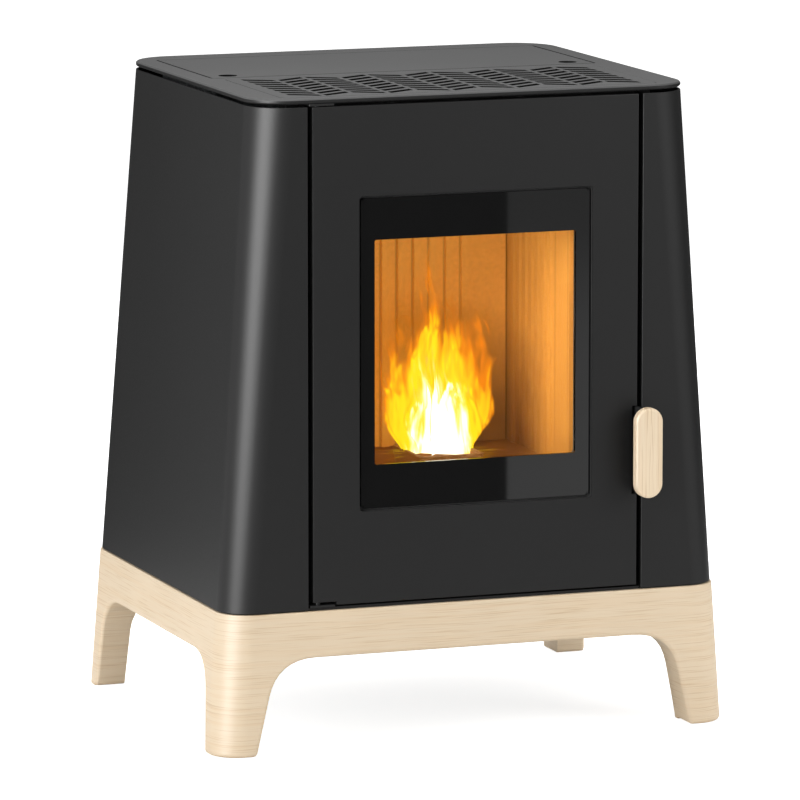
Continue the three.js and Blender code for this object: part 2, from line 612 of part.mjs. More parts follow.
function topPlate() {
  const bevel = 1.5;
  const shape = new THREE.Shape(planAt(PANEL_TOP, 0));
  const plate = new THREE.ExtrudeGeometry(shape, {
    depth: PLATE_THICKNESS - 2 * bevel,
    bevelEnabled: true,
    bevelThickness: bevel,
    bevelSize: bevel,
    bevelOffset: -bevel,
    bevelSegments: 1,
  });
  const ledgeTop = HEIGHT - 3.5;
  const { half, front, back } = GRILLE;
  const through = roundedRectangle(-half + LEDGE, half - LEDGE, front + LEDGE, back - LEDGE, 4);
  const rebate = roundedRectangle(-half - SEAT, half + SEAT, front - SEAT, back + SEAT, 8);
  const gap = PLATE_GAP;
  const lidHole = roundedRectangle(-LID.half - gap, LID.half + gap, LID.front - gap, LID.back + gap, 5);
  const pinReach = LID.half + 12;
  const body = cut(
    solid(plate.translate(0, 0, PLATE_BOTTOM + bevel)),
    prism(through, "z", PLATE_BOTTOM - 1, HEIGHT + 1, 3),
    prism(rebate, "z", ledgeTop, HEIGHT + 1, 3),
    prism(lidHole, "z", PLATE_BOTTOM - 1, HEIGHT + 1, 3),
    rod("x", LID_AXIS_Y, LID_AXIS_Z, -pinReach, pinReach, LID_PIN_RADIUS + 0.1, 12),
  );
  return piece("top_plate", body, castIron);
}

// Slots in a chevron pattern: neighbours in a row lean opposite ways, and their ends stand
// square to the row, so that the bars between the columns keep one width.
function topGrille() {
  const { half, front, back } = GRILLE;
  const shape = roundedRectangle(-half, half, front, back, 8);
  const columns = 11;
  const rows = 8;
  const margin = 13;
  const stepX = (2 * (half - margin)) / columns;
  const stepY = (back - front - 2 * margin) / rows;
  const reach = 0.43 * stepX; // half a slot's length along the row
  const opening = 0.29 * stepY; // half its width across the row
  for (let column = 0; column < columns; column++) {
    const climb = (column % 2 ? 1 : -1) * reach * Math.tan(Math.PI / 6);
    for (let row = 0; row < rows; row++) {
      const x = -half + margin + stepX * (column + 0.5);
      const y = front + margin + stepY * (row + 0.5);
      const corners = [[-1, -1], [1, -1], [1, 1], [-1, 1]].map(
        ([end, side]) => new THREE.Vector2(x + end * reach, y + end * climb + side * opening),
      );
      const hole = new THREE.Path();
      hole.setFromPoints(corners);
      shape.holes.push(hole);
    }
  }
  return piece("top_grille", prism(shape, "z", HEIGHT - 3.5, HEIGHT, 3), castIron);
}

function lidGroup() {
  const group = new THREE.Group();
  const outline = roundedRectangle(-LID.half, LID.half, LID.front, LID.back, 4);
  const recess = (side) => rod("z", side * (LID.half - 23.5), LID.front + 20, HEIGHT - 4, HEIGHT + 1, 10, 20);
  const lid = cut(
    prism(outline, "z", PLATE_BOTTOM, HEIGHT, 3),
    recess(-1),
    recess(1),
    rod("x", LID_AXIS_Y, LID_AXIS_Z, -LID.half - 5, -LID.half + 8, LID_PIN_RADIUS + SEAT, 12),
    rod("x", LID_AXIS_Y, LID_AXIS_Z, LID.half - 8, LID.half + 5, LID_PIN_RADIUS + SEAT, 12),
  );
  group.add(piece("hopper_lid", lid, castIron));
  const sealHalf = LID.half - 13.5;
  const sealFront = LID.front + 18;
  const sealBack = LID.back - 15;
  const seal = new THREE.Shape(roundedRectangle(-sealHalf, sealHalf, sealFront, sealBack, 6).getPoints(3));
  seal.holes.push(
    roundedRectangle(-sealHalf + 8, sealHalf - 8, sealFront + 8, sealBack - 8, 3, THREE.Path),
  );
  group.add(piece("lid_seal", prism(seal, "z", PLATE_BOTTOM - 4, PLATE_BOTTOM, 3), rubber));
  return group;
}

function lidPins() {
  const group = new THREE.Group();
  for (const [side, sign] of [["left", -1], ["right", 1]]) {
    const ends = [sign * (LID.half - 7), sign * (LID.half + 11)].sort((a, b) => a - b);
    const pin = rod("x", LID_AXIS_Y, LID_AXIS_Z, ends[0], ends[1], LID_PIN_RADIUS, 12);
    group.add(piece("lid_pin_" + side, pin, bareSteel));
  }
  return group;
}

// ---------------------------------------------------------------- fire chamber

const SHELL_HALF = FIRE_HALF_WIDTH + LINER + SEAT + FIREBOX_WALL;
const SHELL_BACK = FIRE_BACK + 10.5 + FIREBOX_WALL;
const SHELL_BOTTOM = FIREBOX_FLOOR - FIREBOX_WALL;
const SHELL_TOP = FIREBOX_TOP + FIREBOX_WALL;
const LINER_BOTTOM = POT_RIM - 10;
const LINER_TOP = FIREBOX_TOP - SEAT;
const POT_FRONT = FIRE_BACK - 130;
const POT_BACK = FIRE_BACK - 42;
const POT_BOTTOM = POT_RIM - 50;
const IGNITER_Z = POT_RIM - 22;
const IGNITER_RADIUS = 5;
const CHUTE = { half: AUGER_RADIUS + 2, bottom: FIREBOX_TOP - 83.5, top: FIREBOX_TOP - 36.5 };
const GAS_PORT = { x0: -68, x1: -38, bottom: FIREBOX_FLOOR + 3.5, top: FIREBOX_FLOOR + 23.5 };
const AIR_BOX_BOTTOM = AIR_Z - AIR_RADIUS - 2;
const PAN_TOP = AIR_BOX_BOTTOM - 5;
const PAN_HALF = FIRE_HALF_WIDTH - 6;

function fireboxShell() {
  const inner = SHELL_HALF - FIREBOX_WALL;
  const potHole = POT_HALF_WIDTH + 1.5;
  return piece(
    "firebox_shell",
    cut(
      box(-SHELL_HALF, SHELL_HALF, FRAME_BACK, SHELL_BACK, SHELL_BOTTOM, SHELL_TOP),
      box(-inner, inner, 0, SHELL_BACK - FIREBOX_WALL, FIREBOX_FLOOR, FIREBOX_TOP),
      box(-potHole, potHole, POT_FRONT - 1.5, POT_BACK + 1.5, 0, FIREBOX_FLOOR + 1),
      box(-FIRE_HALF_WIDTH + 10, FIRE_HALF_WIDTH - 10, FRAME_BACK + 5, POT_FRONT - 14, 0, FIREBOX_FLOOR + 1),
      box(-CHUTE.half, CHUTE.half, FIRE_BACK, BEYOND, CHUTE.bottom, CHUTE.top),
      box(GAS_PORT.x0, GAS_PORT.x1, FIRE_BACK, BEYOND, GAS_PORT.bottom, GAS_PORT.top),
      rod("y", 0, IGNITER_Z, FIRE_BACK, BEYOND, IGNITER_RADIUS + SEAT, 16),
    ),
    darkSteel,
  );
}

// A liner in plan: a plate whose room side has ribs between two ends of the ribbed stretch.
function ribbedOutline(start, end, ribsFrom, ribsTo, face, back, ribDepth, pitch) {
  const points = [[start, face + ribDepth]];
  const count = Math.floor((ribsTo - ribsFrom) / pitch);
  for (let rib = 0; rib < count; rib++) {
    const u = ribsFrom + pitch * rib + pitch / 2;
    points.push([u - 5, face + ribDepth], [u - 4, face], [u + 4, face], [u + 5, face + ribDepth]);
  }
  points.push([end, face + ribDepth], [end, back], [start, back]);
  return points;
}

function liners() {
  const group = new THREE.Group();
  const half = FIRE_HALF_WIDTH - SEAT;
  const backShape = polygon(...ribbedOutline(-half, half, -72, 72, FIRE_BACK, FIRE_BACK + 10.2, 4, 18));
  const backBody = cut(
    prism(backShape, "z", LINER_BOTTOM, LINER_TOP),
    box(-CHUTE.half, CHUTE.half, 0, BEYOND, CHUTE.bottom, CHUTE.top),
  );
  group.add(piece("liner_back", backBody, liner));

  const side = ribbedOutline(
    FRAME_BACK + 3, FIRE_BACK + 9, FIRE_BACK - 130, FIRE_BACK - 4, FIRE_HALF_WIDTH, FIRE_HALF_WIDTH + LINER, 3, 18,
  );
  const right = polygon(...side.map(([u, v]) => [v, u]).reverse());
  const left = polygon(...side.map(([u, v]) => [-v, u]));
  group.add(piece("liner_right", prism(right, "z", LINER_BOTTOM, LINER_TOP), liner));
  group.add(piece("liner_left", prism(left, "z", LINER_BOTTOM, LINER_TOP), liner));

  const baffleBack = FIRE_BACK - SEAT;
  const baffleTop = FIREBOX_TOP - 2.5;
  const baffle = polygon(
    [62, baffleTop - 4], [baffleBack, baffleTop - 29], [baffleBack, baffleTop - 25], [62, baffleTop],
  );
  group.add(piece("baffle", prism(baffle, "x", -half, half), castIron));
  return group;
}

const potPlan = (half, front, back, radius) =>
  roundedRectangle(-half, half, front, back, radius).getPoints(3);

function burnPot() {
  const middle = (POT_FRONT + POT_BACK) / 2;
  const depth = (POT_BACK - POT_FRONT) / 2;
  const level = (z, shrink) => ({
    z,
    outline: potPlan(POT_HALF_WIDTH - shrink, middle - depth + shrink, middle + depth - shrink, 7 - shrink / 3),
  });
  const wall = 4;
  const rimHalf = POT_HALF_WIDTH + 7.5;
  const rim = roundedRectangle(-rimHalf, rimHalf, POT_FRONT - 8, POT_BACK + 8, 6);
  let pot = join(
    loft([level(POT_BOTTOM, 6), level(POT_RIM - 14, 1.5), level(POT_RIM, 0)]),
    prism(rim, "z", FIREBOX_FLOOR, FIREBOX_FLOOR + 3, 3),
  );
  pot = cut(
    pot,
    loft([level(POT_BOTTOM + wall, 6 + wall), level(POT_RIM - 14, 1.5 + wall), level(POT_RIM + 1, wall)]),
    rod("y", 0, IGNITER_Z, middle, POT_BACK + 10, 6.5, 12),
  );
  for (let column = 0; column < 3; column++) {
    for (let row = 0; row < 4; row++) {
      const hole = rod("z", -15 + 15 * column, middle - 24 + 16 * row, 0, POT_BOTTOM + wall + 1, 3.5, 6);
      pot = pot.subtract(hole);
    }
  }
  return piece("burn_pot", pot, castIron);
}

function fireChamber() {
  const group = new THREE.Group();
  group.add(fireboxShell());
  group.add(liners());
  group.add(burnPot());

  const rodBody = join(
    rod("y", 0, IGNITER_Z, POT_BACK + 9, SHELL_BACK + 22, IGNITER_RADIUS, 12),
    rod("y", 0, IGNITER_Z, SHELL_BACK + SEAT, SHELL_BACK + 5, 2 * IGNITER_RADIUS, 12),
  );
  group.add(piece("igniter", rodBody, zincSteel));

  const airTop = SHELL_BOTTOM - SEAT;
  const airBack = SHELL_BACK - 4;
  const airFront = POT_FRONT - 10;
  const airLeft = -POT_HALF_WIDTH - 11.5;
  const airRight = AIR_X + AIR_RADIUS + 5;
  const potWay = POT_HALF_WIDTH + 3.5;
  const airBox = cut(
    box(airLeft, airRight, airFront, airBack, AIR_BOX_BOTTOM, airTop),
    box(airLeft + 2, airRight - 2, airFront + 2, airBack - 2, AIR_BOX_BOTTOM + 2, airTop - 2),
    box(-potWay, potWay, POT_FRONT - 4, POT_BACK + 4, airTop - 10, BEYOND),
    rod("y", AIR_X, AIR_Z, airBack - 20, BEYOND, AIR_RADIUS - 2, 24),
  );
  group.add(piece("air_box", airBox, darkSteel));

  const inlet = join(
    pipe("y", AIR_X, AIR_Z, airBack, BASE_DEPTH + REAR_REACH - 6, AIR_RADIUS, 2, 24),
    pipe("y", AIR_X, AIR_Z, airBack, airBack + 3, AIR_RADIUS + 1.5, 3, 24),
  );
  group.add(piece("air_inlet_pipe", inlet, darkSteel));

  const panFront = FRAME_BACK + 3;
  const panBack = FIRE_BACK + 6;
  const panWall = 1.5;
  const pan = cut(
    join(
      box(-PAN_HALF, PAN_HALF, panFront, panBack, FLOOR_PLATE_TOP, PAN_TOP),
      box(-PAN_HALF, PAN_HALF, FRAME_FRONT + 0.5, panFront, PAN_TOP - 5, PAN_TOP),
    ),
    box(
      -PAN_HALF + panWall, PAN_HALF - panWall, panFront + panWall, panBack - panWall,
      FLOOR_PLATE_TOP + panWall, BEYOND,
    ),
  );
  group.add(piece("ash_pan", pan, zincSteel));
  return group;
}

// ---------------------------------------------------------------- pellet feed

const AUGER_LOW = new THREE.Vector3(0, 345, POT_RIM + 40); // centre of the tube's lower end
const AUGER_HIGH = new THREE.Vector3(0, FIRE_BACK + 35, FIREBOX_TOP - 68.5); // centre of its upper end
const TUBE_RADIUS = AUGER_RADIUS + 4;
const TUBE_WALL = 2;
const AUGER_LENGTH = AUGER_LOW.distanceTo(AUGER_HIGH);
const augerTilt = Math.atan2(AUGER_LOW.y - AUGER_HIGH.y, AUGER_HIGH.z - AUGER_LOW.z);
const MOUTH_Y = AUGER_HIGH.y + TUBE_RADIUS * Math.cos(augerTilt); // rearmost point of the tube's open end
const MOUTH_Z = AUGER_HIGH.z + TUBE_RADIUS * Math.sin(augerTilt);

const HOPPER_WALL = 2;
const HOPPER_HALF = LID.half - 9.5;
const HOPPER_BACK = LID.back + 2;
const HOPPER_FOOT = AUGER_LOW.z + 0.4474 * (AUGER_HIGH.z - AUGER_LOW.z);
const footOverTube = (HOPPER_FOOT - AUGER_LOW.z) * Math.tan(augerTilt) - TUBE_RADIUS / Math.cos(augerTilt);
const FOOT_FRONT = AUGER_LOW.y - footOverTube + 7.9; // clear of the tube's rear side
const HOPPER_LEVELS = [
  { z: PLATE_BOTTOM, half: HOPPER_HALF, front: LID.front + 12, back: HOPPER_BACK },
  { z: PLATE_BOTTOM - 32.7, half: HOPPER_HALF, front: LID.front + 24, back: HOPPER_BACK },
  { z: AUGER_HIGH.z + 65, half: HOPPER_HALF, front: SHELL_BACK + 22, back: HOPPER_BACK },
  { z: MOUTH_Z, half: 0.735 * HOPPER_HALF, front: MOUTH_Y + 6.8, back: HOPPER_BACK - 7 },
  { z: HOPPER_FOOT, half: AUGER_RADIUS, front: FOOT_FRONT, back: FOOT_FRONT + 40 },
];

const rectangle = (half, front, back) =>
  [[-half, front], [half, front], [half, back], [-half, back]].map(([x, y]) => new THREE.Vector2(x, y));

function hopper() {
  const skin = (extra, over) => loft(
    HOPPER_LEVELS.map(({ z, half, front, back }, i) => ({
      z: z + (i === 0 ? over : i === HOPPER_LEVELS.length - 1 ? -over : 0),
      outline: rectangle(half + extra, front - extra, back + extra),
    })).reverse(),
  );
  const flangeHalf = LID.half + 9;
  const flange = box(-flangeHalf, flangeHalf, LID.front - 10, LID.back + 23, PLATE_BOTTOM - 2.5, PLATE_BOTTOM);
  const swing = box(-LID.half - 2, LID.half + 2, LID_AXIS_Y - 8, LID.back + 1.8, PLATE_BOTTOM - 5, PLATE_BOTTOM + 1);
  const body = cut(join(skin(HOPPER_WALL, 0), flange), skin(0, 1), swing);
  return piece("hopper", body, zincSteel);
}

// A helical flight round a shaft, along +Z from 0.
function augerScrew(length) {
  const shaftRadius = 7;
  const thickness = 3;
  const sides = 12; // facets of the shaft, and steps of the flight in one turn
  const steps = Math.floor(((length - 14 - thickness) / AUGER_PITCH) * sides);
  const corners = [
    [shaftRadius - 1, 0],
    [AUGER_RADIUS, 0],
    [AUGER_RADIUS, thickness],
    [shaftRadius - 1, thickness],
  ];
  const points = [];
  const index = [];
  for (let step = 0; step <= steps; step++) {
    const angle = (2 * Math.PI * step) / sides;
    const z = 2 + (AUGER_PITCH * step) / sides;
    for (const [r, up] of corners) points.push(r * Math.cos(angle), r * Math.sin(angle), z + up);
  }
  for (let step = 0; step < steps; step++) {
    for (let side = 0; side < 4; side++) {
      const a = 4 * step + side;
      const b = 4 * step + ((side + 1) % 4);
      index.push(a, b + 4, b, a, a + 4, b + 4);
    }
  }
  const end = 4 * steps;
  index.push(0, 1, 2, 0, 2, 3, end, end + 2, end + 1, end, end + 3, end + 2);
  const flight = new THREE.BufferGeometry();
  flight.setAttribute("position", new THREE.Float32BufferAttribute(points, 3));
  flight.setIndex(index);
  return solid(flight).add(rod("z", 0, 0, -26, length - 8, shaftRadius, sides));
}

// The tube leans with the screw; its saddle takes pellets from the hopper, and its upper
// end opens into the chute that drops them through the back of the fire chamber.
function augerTube() {
  const placed = (body) => body.transform(augerMatrix());
  const outer = placed(rod("z", 0, 0, 0, AUGER_LENGTH, TUBE_RADIUS, 24));
  const bore = placed(rod("z", 0, 0, TUBE_WALL, AUGER_LENGTH + 5, TUBE_RADIUS - TUBE_WALL, 24));
  const shaftHole = placed(rod("z", 0, 0, -5, 5, 9, 16));
  const hopperFoot = HOPPER_LEVELS.at(-1);
  const { half, back, z: saddleTop } = hopperFoot;
  const saddleFront = hopperFoot.front - 20;
  const saddleLow = saddleTop - 35;
  const saddle = box(-half - 3, half + 3, saddleFront, back + 3, saddleLow, saddleTop - SEAT);
  const saddleInside = box(-half, half, saddleFront + 3, back, saddleLow + 3, saddleTop + 5);
  const chuteFront = SHELL_BACK + SEAT;
  const { y, z } = AUGER_HIGH;
  const chuteOutline = polygon(
    [chuteFront, z - 35], [y + 15, z - 20], [MOUTH_Y + 2.3, MOUTH_Z], [y + 3, z + 52], [chuteFront, z + 52],
  );
  const chuteHollow = polygon(
    [0, z - 32], [y + 12.5, z - 17.5], [MOUTH_Y - 1.2, MOUTH_Z], [y + 1, z + 49], [0, z + 49],
  );
  const chute = prism(chuteOutline, "x", -TUBE_RADIUS - 4, TUBE_RADIUS + 4);
  const chuteInside = prism(chuteHollow, "x", -TUBE_RADIUS - 1, TUBE_RADIUS + 1);
  const firebox = box(-BEYOND, BEYOND, 0, chuteFront, 0, BEYOND);
  const body = cut(join(outer, saddle, chute), bore, shaftHole, saddleInside, chuteInside, firebox);
  return piece("auger_tube", body, zincSteel);
}

function augerMatrix() {
  const matrix = new THREE.Matrix4().makeRotationX(augerTilt);
  matrix.setPosition(AUGER_LOW);
  return matrix.toArray();
}

function feed() {
  const group = new THREE.Group();
  group.add(hopper());
  group.add(augerTube());

  const tilted = new THREE.Group();
  tilted.position.copy(AUGER_LOW);
  tilted.rotation.x = augerTilt;
  tilted.add(piece("auger_screw", augerScrew(AUGER_LENGTH), bareSteel));
  const bush = cut(rod("z", 0, 0, -6, -SEAT, 14, 20), rod("z", 0, 0, -10, 5, 7 + RUNNING, 16));
  tilted.add(piece("auger_bush", bush, bareSteel));
  const gearbox = prism(roundedRectangle(-28, 28, -28, 28, 5), "z", -34, -6 - SEAT, 3);
  const motor = cut(
    join(gearbox, rod("z", 0, 0, -78, -34, 24, 24), rod("z", 0, 0, -82, -78, 8, 16)),
    rod("z", 0, 0, -28, 5, 7 + RUNNING, 16),
  );
  tilted.add(piece("auger_motor", motor, zincSteel));
  group.add(tilted);
  return group;
}

// ---------------------------------------------------------------- fans

// Blades round an axis along X, each a thin plate set at an angle to its radius.
function blades(count, x0, x1, inner, outer, thickness, setBack) {
  const made = [];
  for (let i = 0; i < count; i++) {
    const plate = new THREE.BoxGeometry(x1 - x0, outer - inner, thickness);
    plate.translate((x0 + x1) / 2, 0, 0);
    plate.rotateX(setBack);
    plate.translate(0, (inner + outer) / 2, 0);
    plate.rotateX((2 * Math.PI * i) / count);
    made.push(solid(plate));
  }
  return made;
}

function gasFan() {
  const group = new THREE.Group();
  const { x0, x1, y, z, radius } = GAS_FAN;
  const wall = 3;
  const outletY = y + radius + 2;
  const flangeHalf = FLUE_RADIUS + 6;
  const housing = cut(
    join(
      rod("x", y, z, x0, x1, radius, 24),
      box(x0, x1, y, outletY, z, z + radius),
      box(x0 + 12, x1 - 12, y - 30, y + 30, FLOOR_PLATE_TOP, z - radius + 15),
      box(FLUE_X - flangeHalf, FLUE_X + flangeHalf, outletY, outletY + 4, FLUE_Z - flangeHalf, FLUE_Z + flangeHalf),
    ),
    rod("x", y, z, x0 + wall, x1 - wall, radius - wall, 24),
    box(x0 + wall, x1 - wall, y, outletY + 1, z + wall, z + radius - wall),
    rod("y", FLUE_X, FLUE_Z, outletY - 2, outletY + 6, FLUE_RADIUS - 10, 24),
    rod("x", y, z, x1 - 10, x1 + 10, 28, 24),
    rod("x", y, z, x0 - 10, x0 + 10, 5 + RUNNING, 16),
  );
  group.add(piece("gas_fan_housing", housing, zincSteel));

  const spigot = join(
    pipe("y", FLUE_X, FLUE_Z, outletY + 4, BASE_DEPTH + REAR_REACH, FLUE_RADIUS, 2, 24),
    pipe("y", FLUE_X, FLUE_Z, outletY + 4, outletY + 7, FLUE_RADIUS + 5, 6, 24),
  );
  group.add(piece("flue_spigot", spigot, darkSteel));

  const eye = 28; // radius of the hole that the fan draws through
  const ductTop = GAS_PORT.top + 9;
  const ductLow = z - eye - 6;
  const ductRight = GAS_PORT.x1 + 4;
  const duct = cut(
    box(x1 + SEAT, ductRight, SHELL_BACK + SEAT, y + eye + 6, ductLow, ductTop),
    box(x1 + SEAT + 2, ductRight - 2, SHELL_BACK + SEAT + 2, y + eye + 4, ductLow + 2, ductTop - 2),
    box(GAS_PORT.x0, GAS_PORT.x1, 0, SHELL_BACK + 10, GAS_PORT.bottom, GAS_PORT.top),
    rod("x", y, z, x1 - 5, x1 + 10, eye, 24),
  );
  group.add(piece("smoke_duct", duct, darkSteel));

  const wheel = new THREE.Group();
  wheel.position.set(0, y, z);
  const impeller = join(
    rod("x", 0, 0, -134, -131, 56, 24),
    rod("x", 0, 0, -134, -112, 11, 12),
    ...blades(12, -131.5, -96, 26, 56, 2, 0.6),
    rod("x", 0, 0, -170, -108, 5, 16),
  );
  wheel.add(piece("gas_impeller", impeller, bareSteel));
  group.add(wheel);

  const motor = cut(
    join(rod("x", y, z, -192, x0 - SEAT, 33, 24), rod("x", y, z, -198, -192, 14, 20)),
    rod("x", y, z, -172, -140, 5 + RUNNING, 16),
  );
  group.add(piece("gas_fan_motor", motor, zincSteel));
  return group;
}

function roomFan() {
  const group = new THREE.Group();
  const { x0, x1, y, z, radius } = ROOM_FAN;
  const wall = 2;
  const mouth = y - 62;
  const housing = cut(
    join(
      rod("x", y, z, x0, x1, radius, 20),
      box(x0, x1, mouth, y, z - 4, z + radius),
      box(x0 + 6, x1 - 6, y - 20, y + 20, FLOOR_PLATE_TOP, z - radius + 6),
    ),
    rod("x", y, z, x0 + wall, x1 - wall, radius - wall, 20),
    box(x0 + wall, x1 - wall, mouth - 2, y, z - 2, z + radius - wall),
    box(x0 + wall, x1 - wall, y, y + 60, z - 10, z + 22),
    rod("x", y, z, x0 - 5, x1 + 5, 4 + RUNNING, 16),
  );
  group.add(piece("room_fan_housing", housing, zincSteel));

  const wheel = new THREE.Group();
  wheel.position.set(0, y, z);
  const disc = (from) => rod("x", 0, 0, from, from + 2, 31, 12);
  const rotor = join(
    disc(x0 + 4),
    disc(x1 - 6),
    ...blades(12, x0 + 5, x1 - 5, 24, 30, 1.2, 0.5),
    rod("x", 0, 0, x0 - 4, x1 + 8, 4, 10),
  );
  wheel.add(piece("room_fan_rotor", rotor, bareSteel));
  group.add(wheel);

  const motor = cut(
    rod("x", y, z, x1 + SEAT, x1 + 36, 24, 24),
    rod("x", y, z, x1 - 5, x1 + 12, 4 + RUNNING, 16),
  );
  group.add(piece("room_fan_motor", motor, zincSteel));
  return group;
}

// ---------------------------------------------------------------- electrics

const BRACKET_X = 236;

function electrics() {
  const group = new THREE.Group();
  const bracket = join(
    box(BRACKET_X, BRACKET_X + 2, 100, 270, FLOOR_PLATE_TOP, 430),
    box(BRACKET_X - 20, BRACKET_X + 2, 100, 270, FLOOR_PLATE_TOP, FLOOR_PLATE_TOP + 2),
  );
  group.add(piece("control_bracket", bracket, zincSteel));

  const standoff = (y, z) => rod("x", y, z, BRACKET_X - 8, BRACKET_X - SEAT, 3, 6);
  const board = join(
    box(BRACKET_X - 8, BRACKET_X - 6.4, 115, 255, 300, 420),
    standoff(122, 307), standoff(248, 307), standoff(122, 413), standoff(248, 413),
    box(BRACKET_X - 34, BRACKET_X - 7, 125, 165, 310, 350),
    box(BRACKET_X - 24, BRACKET_X - 7, 180, 245, 308, 322),
    box(BRACKET_X - 22, BRACKET_X - 7, 125, 150, 370, 400),
    rod("x", 200, 380, BRACKET_X - 28, BRACKET_X - 7, 9, 12),
  );
  group.add(piece("control_board", board, circuit));

  const gauge = join(
    rod("x", 150, 225, BRACKET_X - 22, BRACKET_X - SEAT, 26, 24),
    rod("x", 150, 225, BRACKET_X - 34, BRACKET_X - 22, 4, 12),
  );
  group.add(piece("pressure_switch", gauge, blackPlastic));

  // A mains inlet with its switch above it in one moulding, set in the leaning back panel.
  const place = new THREE.Group();
  place.position.set(SOCKET_X, depthAt(SOCKET_Z) - SHEET, SOCKET_Z);
  place.rotation.x = Math.atan(lean);
  group.add(place);
  const up = SWITCH_Z - SOCKET_Z;
  const inlet = cut(
    join(
      prism(roundedRectangle(-25, 25, -14, up + 12, 3), "y", 0, 3, 2),
      box(-13.5, 13.5, -26, 1, -10, 10),
      box(-10.5, 10.5, -20, 1, up - 7, up + 7),
    ),
    prism(roundedRectangle(-11.5, 11.5, -8, 8, 2), "y", -15, 5, 2),
    box(-9, 9, -14, 5, up - 5.5, up + 5.5),
  );
  place.add(piece("power_inlet", inlet, blackPlastic));
  const rockerShape = polygon([-7.6, 4.2], [-7.6, -2], [-3, -6], [3, -6], [7.6, -2], [7.6, 1.2], [0, 1.6]);
  place.add(piece("rocker_switch", prism(rockerShape, "z", up - 5, up + 5), blackPlastic));
  return group;
}

// ---------------------------------------------------------------- assembly

const stove = new THREE.Group();
stove.add(plinth());
stove.add(steelBody());
stove.add(doorGroup());
stove.add(handleGroup());
stove.add(doorHinges());
stove.add(topPlate());
stove.add(topGrille());
stove.add(lidGroup());
stove.add(lidPins());
stove.add(fireChamber());
stove.add(feed());
stove.add(gasFan());
stove.add(roomFan());
stove.add(electrics());

// The grip is the foremost point and the flue spigot the rearmost.
stove.position.y = -(BASE_DEPTH + REAR_REACH - GRIP_REACH) / 2;

export default stove;
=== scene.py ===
"""Pellet stove on a wooden plinth, with a fire behind its window: the looks, laid out as an add-on.

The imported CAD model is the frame, and every piece is made around it in metres."""

import functools
import json
import math
import random

import bpy
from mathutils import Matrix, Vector

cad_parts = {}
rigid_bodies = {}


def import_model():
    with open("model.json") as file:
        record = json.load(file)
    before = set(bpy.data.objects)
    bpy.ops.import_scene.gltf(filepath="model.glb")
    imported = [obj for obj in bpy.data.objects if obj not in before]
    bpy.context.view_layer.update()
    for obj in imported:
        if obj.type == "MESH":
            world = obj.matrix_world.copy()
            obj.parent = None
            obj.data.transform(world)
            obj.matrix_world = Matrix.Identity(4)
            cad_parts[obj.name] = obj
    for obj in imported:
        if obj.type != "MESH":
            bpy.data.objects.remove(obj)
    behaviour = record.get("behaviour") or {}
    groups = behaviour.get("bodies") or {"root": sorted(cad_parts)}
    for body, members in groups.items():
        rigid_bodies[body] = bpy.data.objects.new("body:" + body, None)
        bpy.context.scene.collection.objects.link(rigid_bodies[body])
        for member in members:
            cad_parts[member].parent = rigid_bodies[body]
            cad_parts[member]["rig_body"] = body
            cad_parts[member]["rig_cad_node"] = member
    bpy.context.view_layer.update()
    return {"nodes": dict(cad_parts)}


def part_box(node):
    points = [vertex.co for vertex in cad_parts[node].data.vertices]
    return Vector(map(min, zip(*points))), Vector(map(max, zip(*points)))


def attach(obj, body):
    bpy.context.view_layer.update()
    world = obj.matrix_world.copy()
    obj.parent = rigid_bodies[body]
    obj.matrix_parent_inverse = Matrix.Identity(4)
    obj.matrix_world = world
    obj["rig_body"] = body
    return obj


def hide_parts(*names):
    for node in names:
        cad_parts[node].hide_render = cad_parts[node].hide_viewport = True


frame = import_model()

bl_info = {
    "name": "Pellet stove",
    "version": (1, 0, 0),
    "blender": (4, 5, 0),
    "location": "View3D > Sidebar > Stove",
    "description": "Builds the looks of a small pellet stove around its CAD frame",
    "category": "Object",
}

MM = 0.001

# Two places that are closer than this count as one.
TOUCH = 0.2 * MM

# Where the flames are hottest, just above the burn pot.
FIRE_HEART = (0.004, -0.11, 0.302)

# The camera that the photograph was taken with, in the row frame.
CAMERA_PLACE = (-2.4867, -6.7717, 1.4749)
CAMERA_AIM = (0.3402, 0.9271, -0.1574)
CAMERA_LENS = 309.35

# The shader inputs of a surface with no gloss at all.
DULL = {"Roughness": 1.0, "Specular IOR Level": 0.0}

# How brightly the camera sees the floor glow, and how strongly the white room lights the stove.
FLOOR_GLOW = 0.78
ROOM_LIGHT = 0.45


def linear(hex_colour):
    """Turns an sRGB hex colour into linear red, green, blue and alpha."""
    digits = hex_colour.lstrip("#")
    parts = [int(digits[i : i + 2], 16) / 255 for i in (0, 2, 4)]
    return tuple(p / 12.92 if p <= 0.04045 else ((p + 0.055) / 1.055) ** 2.4 for p in parts) + (1.0,)


def length(name, description, millimetres):
    """Describes one length that a user may change."""
    return bpy.props.FloatProperty(
        name=name, description=description, default=millimetres * MM, min=0, unit="LENGTH", precision=4
    )


def tint(name, description, hex_colour):
    """Describes one colour that a user may change."""
    first = linear(hex_colour)[:3]
    return bpy.props.FloatVectorProperty(
        name=name, description=description, default=first, subtype="COLOR", min=0, max=1
    )


